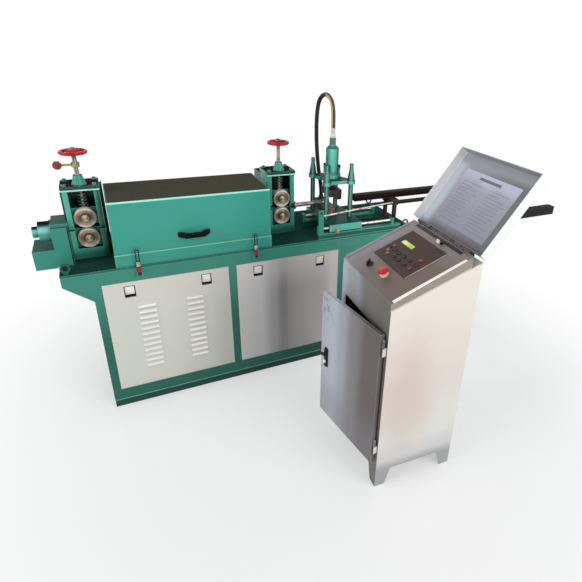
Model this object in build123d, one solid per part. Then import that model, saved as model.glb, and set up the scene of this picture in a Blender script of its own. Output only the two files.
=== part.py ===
"""Bar straightening and cutting machine.

A welded base carries two feed stands, a hinged straightener cover, a sliding hydraulic shear and an
outfeed rack, with a free-standing control console beside it. Millimetres, +Z up, +X along the bar.
The origin is on the floor under the cross sill of the middle posts.
"""
import math
import os

from build123d import *

# Clearances shared by all pieces
cut_over = 5.0
run_gap = 0.3
seat_gap = 0.4
safe_gap = 6.0

# Base and table
table_height = 780.0
table_thick = 12.0
base_depth = 490.0
post_width = 36.0
bay_width = 583.0
end_bay_width = 295.0
overhang = 115.0
frame_thick = 40.0
sill_height = 49.0
toe_setback = 15.0
bay_bottom = 112.0
bay_drop = 74.0
knee_drop = 150.0
apron_end_height = 45.0
stop_lip = 10.0
end_plate = 12.0

# Sheet panels of the base
panel_thick = 18.0
panel_sheet = 2.5
panel_gap = 2.0
pull_width = 46.0
pull_height = 56.0
pull_depth = 12.0
pull_drop = 52.0
pull_inset = 115.0
louvre_rows = 12
louvre_width = 82.0
louvre_height = 14.0
louvre_proud = 6.0
louvre_top_gap = 136.0
louvre_bottom_gap = 117.0
louvre_slot = 5.0
louvre_centres = (179.0, 403.0)

# The bar's line through the machine; heights from here to the rack are above the table's top
wire_y = -68.0
wire_z = 152.0
wire_hole = 12.0

# Feed stands
stand_centres = (-615.5, 325.5)
stand_width = 147.0
stand_front = -75.0
stand_back = 52.0
stand_web = 12.0
stand_top = 325.0
throat = 104.0
throat_floor = 51.0
cap_thick = 22.0
cap_lip = 5.0
boss_base = 30.0
boss_top = 18.0
boss_height = 42.0
gear_case_depth = 120.0
gear_case_drop = 12.0
gear_case_round = 14.0

# Feed rollers and their bearings
roller_radius = 46.0
roller_width = 30.0
roller_nip = 5.0
groove_depth = 5.0
groove_half = 6.0
roller_dish = 4.0
dish_outer = 36.0
dish_inner = 22.0
roller_nose = 17.0
nose_length = 8.0
shaft_radius = 15.0
shaft_length = 60.0
block_half = 40.0
block_back_gap = 6.0

# Screws, springs and handwheels
screw_y = -36.0
screw_radius = 10.0
screw_lift = 12.0
wheel_height = 490.0
wheel_ring = 50.0
wheel_rim = 7.5
wheel_hub = 16.0
wheel_hub_height = 22.0
wheel_spoke = 5.0
spoke_count = 4
spring_coils = 4
spring_radius = 17.0
spring_wire = 3.4
spring_sides = 8
collar_radius = 17.0
collar_height = 20.0
collar_z = 435.0
lock_rod = 4.5
lock_reach = 70.0
knob_radius = 18.0
knob_thick = 14.0
knob_sides = 8

# Straightener cover
cover_left = -523.0
cover_right = 209.0
cover_setback = 7.0
cover_back = 88.0
cover_top = 309.0
cover_sheet = 4.0
cover_edge_round = 6.0
band_top = 61.0
band_proud = 3.0
cover_hole = 20.0
keeper_width = 30.0
keeper_height = 12.0
keeper_proud = 6.0
keeper_z = 68.0
handle_centre = -169.5
handle_z = 150.0
handle_length = 150.0
handle_base = 34.0
handle_stand_off = 40.0
handle_bar = 15.0
handle_height = 24.0
hinge_places = (-400.0, 86.0)
hinge_setback = 8.0
hinge_rise = 12.0
hinge_barrel = 6.0
hinge_pin = 4.0
hinge_middle = 40.0
hinge_side = 20.0

# Straightening drum under the cover
drum_left = -410.0
drum_right = 96.0
drum_radius = 60.0
drum_disc = 22.0
drum_tube = 22.0
drum_bar = 9.0
drum_bar_circle = 47.0
drum_bars = 4
die_count = 5
die_length = 44.0
die_height = 96.0
die_thick = 34.0
pedestal_length = 50.0
pedestal_front = -115.0
pedestal_back = -21.0
pedestal_top = 198.0
journal_radius = 30.0

# Cover latches on the apron
latch_places = (-432.0, 123.0)
latch_stand_off = 13.0
latch_pivot_z = -38.0
latch_plate_width = 30.0
latch_plate_height = 40.0
latch_plate_thick = 4.0
latch_ear = 3.0
latch_ear_height = 18.0
latch_pin = 3.0
latch_width = 16.0
latch_thick = 9.0
latch_body_height = 58.0
latch_eye = 5.0
latch_wire = 2.2
latch_loop_half = 7.0
latch_loop_height = 62.0

# Inlet
inlet_left = -757.0
inlet_front = -135.0
inlet_back = 25.0
inlet_top = 182.0
inlet_step = 14.0
bracket_left = -844.0
bracket_bottom = -6.0
bracket_top = 83.0
bracket_wall = 8.0
bush_radius = 45.0
bush_length = 49.0
nose_radius = 25.0
nose_reach = 25.0
bush_bore = 11.0

# Lifting eyes
eye_inset_left = 27.0
eye_inset_right = 38.0
eye_setback = 20.0
eye_ring = 17.0
eye_wire = 5.0
eye_collar = 12.0
eye_collar_height = 9.0

# Shear carriage and its guides
press_x = 640.0
press_y = -38.0
column_half_x = 74.0
column_half_y = 98.0
column_radius = 13.5
carriage_half = 99.0
carriage_front = -245.0
carriage_back = 95.0
carriage_bottom = 37.0
carriage_top = 75.0
carriage_travel = 80.0
guide_rod_radius = 7.0
guide_rod_z = 56.0
guide_rod_places = (-230.0, 0.0)
rail_left = 477.0
rail_right = 1000.0
rear_rail_right = 952.0
rail_width = 30.0
rail_height = 31.0
rod_bracket = 16.0
rod_bracket_rise = 14.0
rod_right = 952.0
stop_post_width = 27.0
stop_post_thick = 12.0
stop_post_top = 165.0
stop_post_window = 14.0
stop_post_window_z = 148.0
stop_rod_radius = 5.0
stop_rod_z = 132.0
stop_rod_end_y = -126.0
stop_rod_end_z = 123.0

# Shear press
press_plate_bottom = 266.0
press_plate_thick = 19.0
press_ear = 24.0
press_waist = 62.0
press_waist_reach = 116.0
nut_foot = 20.0
nut_foot_height = 16.0
nut_neck = 11.0
nut_cone_top = 348.0
nut_top = 377.0
barrel_radius = 36.5
barrel_flange = 50.0
barrel_flange_height = 18.0
barrel_flare_height = 16.0
barrel_top = 459.0
barrel_shoulder = 12.0
neck_radius = 18.0
neck_top = 502.0
fitting_nut = 15.0
fitting_nut_height = 18.0
fitting_sleeve = 12.5
fitting_sleeve_length = 36.0
ram_radius = 22.0
ram_bore_top = 326.0
ram_top = 320.0
holder_half = 36.0
holder_front = -100.0
holder_back = 24.0
holder_bottom = 185.0
holder_top = 225.0
blade_left = 644.0
blade_bottom = 168.0
die_left = 600.0
die_right = 636.0
die_top = 135.0
tube_radius = 12.0
tube_bore = 8.0
tube_flange = 22.0
tube_flange_thick = 8.0

# Hydraulic hose and valve block
hose_radius = 11.5
hose_round_share = 0.45
hose_rise = [
    (0.0, 0.0, 0.0),
    (0.0, 0.0, 54.0),
    (-2.0, 4.0, 109.0),
    (-6.0, 25.0, 147.0),
    (-12.0, 64.0, 167.0),
    (-19.0, 106.0, 158.0),
    (-25.0, 138.0, 128.0),
    (-28.0, 152.0, 86.0),
    (-30.0, 157.0, 36.0),
    (-30.0, 160.0, -24.0),
    (-27.0, 163.0, -96.0),
    (-20.0, 166.0, -176.0),
    (-9.0, 170.0, -261.0),
    (6.0, 175.0, -336.0),
]
hose_end_run = 35.0
valve_x = 656.0
valve_y = 140.0
valve_half = 40.0
valve_depth_half = 35.0
valve_top = 102.0
valve_port = 15.0
valve_port_top = 125.0

# Outfeed portal, trough and rack
portal_x = 1028.0
portal_leg = 20.0
portal_half = 62.0
portal_leg_top = 105.0
portal_top = 140.0
portal_saddle = 40.0
trough_left = 770.0
trough_height = 38.0
trough_width = 40.0
trough_wall = 4.0
trough_right = 2200.0
rack_right = 2290.0
rack_beam = 56.0
rear_beam_height = 22.0
rear_beam_width = 24.0
rack_cross_places = (1600.0, 2000.0)
rack_cross = 50.0
rack_post = 30.0
rack_foot = 110.0
rack_foot_thick = 12.0

# Control console
console_x = 337.0
console_y = -1216.0
console_yaw = -3.0
console_width = 440.0
console_depth = 385.0
slope_depth = 336.0
console_front_height = 920.0
console_back_height = 1060.0
shoulder_front_drop = 31.0
shoulder_back_drop = 27.0
neck_inset = 4.0
console_sheet = 3.0
console_foot = 86.0
foot_width = 46.0
foot_taper = 26.0
door_bottom = 140.0
door_top = 787.0
door_width = 408.0
door_thick = 18.0
door_gap = 5.0
door_margin = 16.0
door_ajar = 11.0
doorway_margin = 40.0
doorway_lip = 26.0
door_pin_setback = 8.0
door_knuckle = 5.0
door_pin = 2.5
door_knuckle_length = 36.0
door_hinge_places = (215.0, 712.0)
lid_length = 370.0
lid_overlap = 24.0
lid_depth = 45.0
lid_sheet = 3.0
lid_rest_angle = 149.0
lid_seat = 6.0
lid_pin = 4.0
lid_pin_back = 6.0
lid_wall_gap = 9.0
lid_knuckle = 7.0
lid_knuckle_length = 40.0
lid_knuckle_places = (110.0, 330.0)
lid_bracket = 20.0
board_thick = 3.0
board_right = 96.0
board_left = 358.0
board_front = 112.0
board_back = 310.0
stop_button_place = (181.0, 68.0)
stop_button_radius = 20.0
stop_button_stem = 13.0
stop_button_height = 32.0
stop_button_head = 16.0
selector_place = (297.0, 60.0)
selector_radius = 13.0
selector_height = 22.0
selector_base = 16.0
selector_base_height = 5.0

# Places worked out from the sizes above
base_front = -base_depth / 2
base_back = base_depth / 2
cover_front = base_front + cover_setback
latch_pivot_y = base_front - latch_stand_off
bay_top = table_height - bay_drop
knee_height = table_height - knee_drop
louvre_first = bay_top - louvre_top_gap
louvre_pitch = (louvre_first - bay_bottom - louvre_bottom_gap) / (louvre_rows - 1)
post_edge = post_width / 2
bays = (
    (-post_edge - bay_width, -post_edge),
    (post_edge, post_edge + bay_width),
    (post_edge + bay_width + post_width, post_edge + bay_width + post_width + end_bay_width),
)
base_left = bays[0][0] - post_width
base_right = bays[2][1] + post_width
table_left = base_left - overhang
table_right = base_right + overhang
table_under = table_height - table_thick
post_places = (base_left, -post_edge, bays[1][1], bays[2][1])
roller_low_z = wire_z - roller_radius - roller_nip / 2
roller_high_z = wire_z + roller_radius + roller_nip / 2
roller_front = wire_y - roller_width / 2
roller_back = wire_y + roller_width / 2
block_front = roller_back + block_back_gap
web_face = stand_back - stand_web
cap_top = stand_top + cap_thick
block_top = roller_high_z + block_half
cover_hinge_y = cover_back + hinge_setback
cover_hinge_z = hinge_rise
fitting_top = neck_top + fitting_nut_height + fitting_sleeve_length
rack_left = table_right


def middle(span):
    return (span[0] + span[1]) / 2


def slab(x, y, z):
    """Block between low and high pairs."""
    size = Box(x[1] - x[0], y[1] - y[0], z[1] - z[0])
    return Pos(middle(x), middle(y), middle(z)) * size


def around(centre, half):
    return (centre - half, centre + half)


def bar_x(y, z, radius, x):
    return Pos(middle(x), y, z) * Rot(0, 90, 0) * Cylinder(radius, x[1] - x[0])


def bar_y(x, z, radius, y):
    return Pos(x, middle(y), z) * Rot(90, 0, 0) * Cylinder(radius, y[1] - y[0])


def bar_z(x, y, radius, z):
    return Pos(x, y, middle(z)) * Cylinder(radius, z[1] - z[0])


def plate_xz(points, y):
    face = Pos(0, y[1], 0) * (Plane.XZ * Polygon(*points, align=None))
    return extrude(face, y[1] - y[0])


def plate_xy(points, z):
    face = Pos(0, 0, z[0]) * Polygon(*points, align=None)
    return extrude(face, z[1] - z[0])


def turned_z(x, y, outline):
    """Solid of revolution about a vertical axis, from (radius, height) points."""
    ends = [(0, outline[0][1])] + list(outline) + [(0, outline[-1][1])]
    return Pos(x, y, 0) * revolve(Plane.XZ * Polygon(*ends, align=None), Axis.Z)


def turned_y(x, z, outline):
    """Solid of revolution about a level axis along Y, from (radius, place) points."""
    return Pos(x, 0, z) * Rot(-90, 0, 0) * turned_z(0, 0, outline)


def joined(pieces):
    result = pieces[0]
    for piece in pieces[1:]:
        result = result + piece
    return result


def side_frame(face, inward):
    """Welded front or rear frame: sill with a set-back toe, posts, apron and overhang knees."""
    apron_end = table_under - apron_end_height
    outline = [
        (base_left, 0),
        (base_right, 0),
        (base_right, knee_height),
        (table_right, apron_end),
        (table_right, table_under),
        (table_left, table_under),
        (table_left, apron_end),
        (base_left, knee_height),
    ]
    y = sorted((face, face + inward * frame_thick))
    frame = plate_xz(outline, y)
    recess = sorted((face - inward * cut_over, face + inward * panel_thick))
    through = (y[0] - cut_over, y[1] + cut_over)
    for bay in bays:
        frame -= slab(bay, recess, (bay_bottom, bay_top))
        window = (bay[0] + stop_lip, bay[1] - stop_lip)
        frame -= slab(window, through, (bay_bottom + stop_lip, bay_top - stop_lip))
    toe = sorted((face - inward * cut_over, face + inward * toe_setback))
    whole = (base_left - cut_over, base_right + cut_over)
    return frame - slab(whole, toe, (-cut_over, sill_height))


def cross_members():
    """Sills and table bearers from the front frame to the rear frame, with the apron's end plates."""
    y = (base_front + frame_thick, base_back - frame_thick)
    pieces = []
    for left in post_places:
        x = (left, left + post_width)
        pieces.append(slab(x, y, (0, sill_height)))
        pieces.append(slab(x, y, (table_under - sill_height, table_under)))
    end_z = (table_under - apron_end_height, table_under)
    pieces.append(slab((table_left, table_left + end_plate), y, end_z))
    pieces.append(slab((table_right - end_plate, table_right), y, end_z))
    return joined(pieces)


def table_top():
    return slab((table_left, table_right), (base_front, base_back), (table_under, table_height))


def panel_tray(bay, face, inward):
    """Folded sheet panel that sits in a bay against its lip."""
    x = (bay[0] + panel_gap, bay[1] - panel_gap)
    z = (bay_bottom + panel_gap, bay_top - panel_gap)
    y = sorted((face, face + inward * panel_thick))
    hollow_y = sorted((face + inward * panel_sheet, face + inward * (panel_thick + cut_over)))
    hollow_x = (x[0] + panel_sheet, x[1] - panel_sheet)
    hollow_z = (z[0] + panel_sheet, z[1] - panel_sheet)
    return slab(x, y, z) - slab(hollow_x, hollow_y, hollow_z)


def pull_recess(panel, x):
    """Recessed pull: a shallow cup behind the sheet."""
    z = around(bay_top - pull_drop, pull_height / 2)
    span = around(x, pull_width / 2)
    back = base_front + pull_depth + panel_sheet
    cup_x = (span[0] - panel_sheet, span[1] + panel_sheet)
    cup_z = (z[0] - panel_sheet, z[1] + panel_sheet)
    cup = slab(cup_x, (base_front, back), cup_z)
    return panel + cup - slab(span, (base_front - cut_over, base_front + pull_depth), z)


def louvre(panel, x, z):
    """Pressed louvre: a hood that opens downwards over a slot."""
    low = z - louvre_height
    out = base_front - louvre_proud
    hood = [(base_front, z), (out, low + louvre_slot), (out, low), (base_front, low)]
    face = Plane.YZ * Polygon(*hood, align=None)
    span = around(x, louvre_width / 2)
    inner = (span[0] + panel_sheet, span[1] - panel_sheet)
    panel += Pos(span[0], 0, 0) * extrude(face, louvre_width)
    slot_y = (out + panel_sheet, base_front + panel_sheet + cut_over)
    return panel - slab(inner, slot_y, (low - cut_over, low + louvre_slot))


def front_panel(bay, with_louvres):
    panel = panel_tray(bay, base_front, 1)
    if with_louvres:
        for centre in louvre_centres:
            for row in range(louvre_rows):
                panel = louvre(panel, bay[0] + centre, louvre_first - row * louvre_pitch)
    for x in (bay[0] + pull_inset, bay[1] - pull_inset):
        panel = pull_recess(panel, x)
    return panel


def plain_panels():
    """End bay sheet, rear sheets and the two end sheets between the legs."""
    pieces = [panel_tray(bays[2], base_front, 1)]
    for bay in bays:
        pieces.append(panel_tray(bay, base_back, -1))
    y = (base_front + frame_thick, base_back - frame_thick)
    z = (sill_height, table_under - sill_height)
    pieces.append(slab((base_left, base_left + panel_sheet), y, z))
    pieces.append(slab((base_right - panel_sheet, base_right), y, z))
    return joined(pieces)


def roll_stand(cx):
    """Gantry casting with a throat for the bearings and a notch for the bar."""
    x = around(cx, stand_width / 2)
    body = slab(x, (stand_front, stand_back), (0, stand_top))
    throat_y = (stand_front - cut_over, web_face)
    body -= slab(around(cx, throat / 2), throat_y, (throat_floor, stand_top + cut_over))
    notch_x = (x[0] - cut_over, x[1] + cut_over)
    notch_y = (stand_front - cut_over, wire_y + wire_hole)
    return body - slab(notch_x, notch_y, around(wire_z, wire_hole))


def stand_cap(cx):
    """Bolted cap plate with the tapered nut boss of the screw."""
    x = around(cx, stand_width / 2 + cap_lip)
    y = (stand_front - cap_lip, stand_back)
    cap = slab(x, y, (stand_top, cap_top))
    cap += Pos(cx, screw_y, cap_top + boss_height / 2) * Cone(boss_base, boss_top, boss_height)
    hole_z = (stand_top - cut_over, cap_top + boss_height + cut_over)
    return cap - bar_z(cx, screw_y, screw_radius + run_gap, hole_z)


def gear_case(cx):
    y = (stand_back, stand_back + gear_case_depth)
    case = slab(around(cx, stand_width / 2), y, (0, stand_top - gear_case_drop))
    edges = case.edges().filter_by(Axis.X).group_by(Axis.Z)[-1].sort_by(Axis.Y)[-1:]
    return fillet(edges, gear_case_round)


def shaft_bore(block, cx, z):
    length = (block_front - cut_over, roller_back + shaft_length + run_gap)
    return block - bar_y(cx, z, shaft_radius + run_gap, length)


def lower_bearing(cx):
    z = (throat_floor, roller_low_z + block_half)
    block = slab(around(cx, throat / 2), (block_front, web_face), z)
    return shaft_bore(block, cx, roller_low_z)


def upper_bearing(cx):
    y = (block_front, web_face - run_gap)
    block = slab(around(cx, throat / 2 - run_gap), y, around(roller_high_z, block_half))
    return shaft_bore(block, cx, roller_high_z)


def feed_roller(cx, z):
    """Grooved feed roller with a dished face, a nose and its shaft, as one turned piece."""
    rim = roller_radius
    bottom = rim - groove_depth
    outline = [
        (roller_nose, roller_front - nose_length),
        (roller_nose, roller_front),
        (dish_inner, roller_front),
        (dish_inner, roller_front + roller_dish),
        (dish_outer, roller_front + roller_dish),
        (dish_outer, roller_front),
        (rim, roller_front),
        (rim, wire_y - groove_half),
        (bottom, wire_y),
        (rim, wire_y + groove_half),
        (rim, roller_back),
        (shaft_radius, roller_back),
        (shaft_radius, roller_back + shaft_length),
    ]
    return turned_y(cx, z, outline)


def spring(cx):
    """Compression spring round the screw, from the sliding block to the cap."""
    low = block_top + spring_wire + run_gap
    rise = stand_top - spring_wire - run_gap - low
    path = Helix(rise / spring_coils, rise, spring_radius)
    start = path @ 0
    section = Plane(start, z_dir=path % 0) * RegularPolygon(spring_wire, spring_sides)
    coil = sweep(section, path, is_frenet=True)
    return Pos(cx, screw_y, low) * coil


def screw(cx):
    top = wheel_height - wheel_hub_height / 2
    return bar_z(cx, screw_y, screw_radius, (block_top + run_gap, top))


def handwheel(cx):
    """Rim, hub and spokes of the screw's handwheel."""
    wheel = Torus(wheel_ring, wheel_rim) + Cylinder(wheel_hub, wheel_hub_height)
    for turn in range(spoke_count):
        spoke = bar_x(0, 0, wheel_spoke, (wheel_hub / 2, wheel_ring))
        wheel += Rot(0, 0, (turn + 1 / 2) * 360 / spoke_count) * spoke
    return Pos(cx, screw_y, wheel_height) * wheel


def lock_handle(cx):
    """Split collar on the left screw with a side rod and an eight-sided knob."""
    collar = bar_z(cx, screw_y, collar_radius, around(collar_z, collar_height / 2))
    reach = cx - lock_reach
    handle = collar + bar_x(screw_y, collar_z, lock_rod, (reach, cx))
    knob = extrude(Plane.XZ * RegularPolygon(knob_radius, knob_sides), knob_thick / 2, both=True)
    handle += Pos(reach, screw_y, collar_z) * knob
    hole = around(collar_z, collar_height / 2 + cut_over)
    return handle - bar_z(cx, screw_y, screw_radius + run_gap, hole)


def cover_keepers():
    pieces = []
    for x in latch_places:
        y = (cover_front - keeper_proud, cover_front)
        pieces.append(slab(around(x, keeper_width / 2), y, (keeper_z, keeper_z + keeper_height)))
    return pieces


def cover_knuckles(x):
    """Two hinge knuckles on the cover's back, one each side of the fixed barrel."""
    pieces = []
    for side in (-1, 1):
        inner = x + side * (hinge_middle / 2 + run_gap)
        span = sorted((inner, inner + side * hinge_side))
        lug = slab(span, (cover_back, cover_hinge_y), around(cover_hinge_z, hinge_barrel))
        pieces.append(lug + bar_x(cover_hinge_y, cover_hinge_z, hinge_barrel, span))
    return pieces


def cover():
    """Folded sheet of the hood, open below and at its ends, with a doubled band along its foot."""
    low = seat_gap
    x = (cover_left + cover_sheet, cover_right - cover_sheet)
    y = (cover_front, cover_back)
    hood = slab(x, y, (low, cover_top))
    crown = hood.edges().filter_by(Axis.X).group_by(Axis.Z)[-1]
    hood = fillet(crown, cover_edge_round)
    hood += slab(x, (cover_front - band_proud, cover_front), (low, band_top))
    inside_x = (cover_left - cut_over, cover_right + cut_over)
    inside_y = (cover_front + cover_sheet, cover_back - cover_sheet)
    hood -= slab(inside_x, inside_y, (low - cut_over, cover_top - cover_sheet))
    for keeper in cover_keepers():
        hood += keeper
    for place in hinge_places:
        for knuckle in cover_knuckles(place):
            hood += knuckle
        pin = around(place, hinge_middle / 2 + hinge_side + cut_over)
        hood -= bar_x(cover_hinge_y, cover_hinge_z, hinge_pin + run_gap, pin)
    return hood


def cover_end(outer, inward):
    """Welded end plate of the hood, holed for the bar, with the band returned round it."""
    x = sorted((outer, outer + inward * cover_sheet))
    plate = slab(x, (cover_front, cover_back), (seat_gap, cover_top))
    crown = plate.edges().filter_by(Axis.X).group_by(Axis.Z)[-1]
    plate = fillet(crown, cover_edge_round)
    band_x = sorted((outer - inward * band_proud, outer + inward * cover_sheet))
    plate += slab(band_x, (cover_front - band_proud, cover_back), (seat_gap, band_top))
    return plate - bar_x(wire_y, wire_z, cover_hole, around(outer, band_proud + cover_sheet + cut_over))


def cover_handle():
    """Moulded bow handle with splayed feet."""
    half = handle_length / 2
    foot = half - handle_base
    out = cover_front - handle_stand_off
    inner = out + handle_bar
    outer_edge = [(half, cover_front), (foot, out), (-foot, out), (-half, cover_front)]
    inner_edge = [
        (-half + handle_bar, cover_front),
        (-foot + handle_bar / 2, inner),
        (foot - handle_bar / 2, inner),
        (half - handle_bar, cover_front),
    ]
    z = around(handle_z, handle_height / 2)
    bow = plate_xy([(handle_centre + px, py) for px, py in outer_edge + inner_edge], z)
    return fillet(bow.edges().filter_by(Axis.X), handle_bar / 4)


def cover_hinges():
    """Fixed hinge halves on the table, each with its pin."""
    pieces = []
    for place in hinge_places:
        x = around(place, hinge_middle / 2)
        half = slab(x, around(cover_hinge_y, hinge_barrel), (0, cover_hinge_z))
        half += bar_x(cover_hinge_y, cover_hinge_z, hinge_barrel, x)
        pin = around(place, hinge_middle / 2 + hinge_side)
        pieces.append(half + bar_x(cover_hinge_y, cover_hinge_z, hinge_pin, pin))
    return joined(pieces)


def straightening_drum():
    """Cage of bars between two discs, with die blocks set off the bar's line in turn."""
    drum = bar_x(wire_y, wire_z, drum_radius, (drum_left, drum_left + drum_disc))
    drum += bar_x(wire_y, wire_z, drum_radius, (drum_right - drum_disc, drum_right))
    for turn in range(drum_bars):
        angle = math.radians((turn + 1 / 2) * 360 / drum_bars)
        y = wire_y + drum_bar_circle * math.cos(angle)
        z = wire_z + drum_bar_circle * math.sin(angle)
        drum += bar_x(y, z, drum_bar, (drum_left, drum_right))
    step = (drum_right - drum_left) / (die_count + 1)
    for number in range(die_count):
        x = drum_left + step * (number + 1)
        y = around(wire_y, die_thick)
        drum += slab(around(x, die_length / 2), y, around(wire_z, die_height / 2))
    journals = (drum_left - pedestal_length, drum_right + pedestal_length)
    drum += bar_x(wire_y, wire_z, drum_tube, journals)
    return drum - bar_x(wire_y, wire_z, wire_hole, (journals[0] - cut_over, journals[1] + cut_over))


def drum_bearings():
    pieces = []
    for left in (drum_left - pedestal_length, drum_right + safe_gap):
        x = (left, left + pedestal_length - safe_gap)
        block = slab(x, (pedestal_front, pedestal_back), (0, pedestal_top))
        crown = block.edges().filter_by(Axis.X).group_by(Axis.Z)[-1]
        block = fillet(crown, journal_radius)
        hole = (x[0] - cut_over, x[1] + cut_over)
        pieces.append(block - bar_x(wire_y, wire_z, drum_tube + run_gap, hole))
    return joined(pieces)


def latch_bases():
    """Back plates of the latches on the apron, with ears and pivot pins."""
    pieces = []
    for x in latch_places:
        y = (base_front - latch_plate_thick, base_front)
        z = around(latch_pivot_z, latch_plate_height / 2)
        base = slab(around(x, latch_plate_width / 2), y, z)
        ear_y = (latch_pivot_y - latch_ear - latch_pin, base_front)
        for side in (-1, 1):
            near = x + side * (latch_width / 2 + run_gap)
            ear_x = sorted((near, near + side * latch_ear))
            base += slab(ear_x, ear_y, around(latch_pivot_z, latch_ear_height / 2))
        pin = around(x, latch_width / 2 + latch_ear)
        pieces.append(base + bar_x(latch_pivot_y, latch_pivot_z, latch_pin, pin))
    return joined(pieces)


def latch(x):
    """Swinging latch: a channel body with a wire loop that stands before the cover's keeper."""
    z = (latch_pivot_z, latch_pivot_z + latch_body_height)
    half = latch_width / 2
    body = slab(around(x, half), around(latch_pivot_y, latch_thick / 2), z)
    body += bar_x(latch_pivot_y, latch_pivot_z, latch_eye, around(x, half))
    top = z[1] + latch_loop_height
    for side in (-1, 1):
        body += bar_z(x + side * latch_loop_half, latch_pivot_y, latch_wire, (z[1], top))
    bend = around(x, latch_loop_half)
    body += bar_x(latch_pivot_y, top, latch_wire, bend)
    for side in (-1, 1):
        body += Pos(x + side * latch_loop_half, latch_pivot_y, top) * Sphere(latch_wire)
    hole = around(x, half + cut_over)
    return body - bar_x(latch_pivot_y, latch_pivot_z, latch_pin + run_gap, hole)


def inlet_housing():
    """Housing on the left stand's side with a raised crown, and the box bracket before it."""
    right = stand_centres[0] - stand_width / 2
    x = (inlet_left, right)
    y = (inlet_front, inlet_back)
    body = slab(x, y, (0, inlet_top))
    crown_y = (inlet_front + inlet_step, inlet_back - inlet_step)
    body += slab(x, crown_y, (inlet_top, inlet_top + inlet_step))
    bracket = slab((bracket_left, inlet_left), y, (bracket_bottom, bracket_top))
    hollow_x = (bracket_left - cut_over, inlet_left - bracket_wall)
    hollow_y = (inlet_front + bracket_wall, inlet_back - bracket_wall)
    hollow_z = (bracket_bottom - cut_over, bracket_top - bracket_wall)
    body += bracket - slab(hollow_x, hollow_y, hollow_z)
    return body - bar_x(wire_y, wire_z, wire_hole, (x[0] - cut_over, x[1] + cut_over))


def inlet_bush():
    """Stepped inlet bush on the bar's line."""
    step = inlet_left - bush_length
    bush = bar_x(wire_y, wire_z, bush_radius, (step, inlet_left))
    tip = step - nose_reach
    bush += bar_x(wire_y, wire_z, nose_radius, (tip, step))
    return bush - bar_x(wire_y, wire_z, bush_bore, (tip - cut_over, inlet_left + cut_over))


def lifting_eyes():
    pieces = []
    ring_z = eye_collar_height + eye_ring
    for x in (table_left + eye_inset_left, table_right - eye_inset_right):
        for y in (base_front + eye_setback, base_back - eye_setback):
            eye = bar_z(x, y, eye_collar, (0, eye_collar_height))
            pieces.append(eye + Pos(x, y, ring_z) * Rot(90, 0, 0) * Torus(eye_ring, eye_wire))
    return joined(pieces)


def guide_tube():
    """Tube that leads the bar from the right stand to the shear."""
    left = stand_centres[1] + stand_width / 2
    right = die_left - safe_gap
    tube = bar_x(wire_y, wire_z, tube_radius, (left, right))
    tube += bar_x(wire_y, wire_z, tube_flange, (left, left + tube_flange_thick))
    return tube - bar_x(wire_y, wire_z, tube_bore, (left - cut_over, right + cut_over))


def carriage_rails():
    """Front and rear rails with the brackets of the guide rods, and the stop post at the front."""
    pieces = []
    for y, right in zip(guide_rod_places, (rail_right, rear_rail_right)):
        span = around(y, rail_width / 2)
        rail = slab((rail_left, right), span, (0, rail_height))
        for left in (rail_left, rod_right - rod_bracket):
            z = (0, guide_rod_z + rod_bracket_rise)
            rail += slab((left, left + rod_bracket), span, z)
        if y == guide_rod_places[0]:
            post_x = (rail_left, rail_left + stop_post_width)
            post_y = (span[0], span[0] + stop_post_thick)
            rail += slab(post_x, post_y, (0, stop_post_top))
            window = around(middle(post_x), stop_post_window / 2)
            window_z = around(stop_post_window_z, stop_post_window / 2)
            rail -= slab(window, (post_y[0] - cut_over, post_y[1] + cut_over), window_z)
        rod = (rail_left - cut_over, rod_right + cut_over)
        pieces.append(rail - bar_x(y, guide_rod_z, guide_rod_radius + run_gap, rod))
    return joined(pieces)


def guide_rods():
    x = (rail_left, rod_right)
    return joined([bar_x(y, guide_rod_z, guide_rod_radius, x) for y in guide_rod_places])


def stop_rod():
    """Bright rod from the stop post to the portal's saddle."""
    post_y = guide_rod_places[0] - rail_width / 2 + stop_post_thick / 2
    lean = stop_rod_radius * abs(stop_rod_end_y - post_y) / (portal_x - rail_left)
    start = Vector(rail_left + stop_post_width + run_gap + lean, post_y, stop_rod_z)
    end = Vector(portal_x - portal_saddle / 2 - run_gap - lean, stop_rod_end_y, stop_rod_end_z)
    along = end - start
    section = Plane(start, z_dir=along) * Circle(stop_rod_radius)
    return extrude(section, along.length)


def press_columns():
    return [(press_x + sx * column_half_x, press_y + sy * column_half_y) for sx in (-1, 1) for sy in (-1, 1)]


def carriage():
    """Sliding bed plate bored for the guide rods."""
    x = around(press_x, carriage_half)
    bed = slab(x, (carriage_front, carriage_back), (carriage_bottom, carriage_top))
    for y in guide_rod_places:
        hole = (x[0] - cut_over, x[1] + cut_over)
        bed -= bar_x(y, guide_rod_z, guide_rod_radius + run_gap, hole)
    return bed


def tie_columns():
    z = (carriage_top, press_plate_bottom)
    return joined([bar_z(x, y, column_radius, z) for x, y in press_columns()])


def press_plate():
    """Waisted head plate with a rounded ear over each column."""
    z = (press_plate_bottom, press_plate_bottom + press_plate_thick)
    plate = slab(around(press_x, column_half_x), around(press_y, column_half_y), z)
    for x, y in press_columns():
        plate += bar_z(x, y, press_ear, z)
    cut = (z[0] - cut_over, z[1] + cut_over)
    for side in (-1, 1):
        plate -= bar_z(press_x + side * press_waist_reach, press_y, press_waist, cut)
    return plate - bar_z(press_x, press_y, ram_radius + run_gap, cut)


def column_nuts():
    """Long tapered nuts on the column ends."""
    foot = press_plate_bottom + press_plate_thick
    outline = [
        (nut_foot, foot),
        (nut_foot, foot + nut_foot_height),
        (nut_neck, nut_cone_top),
        (nut_neck, nut_top),
    ]
    return joined([turned_z(x, y, outline) for x, y in press_columns()])


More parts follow.
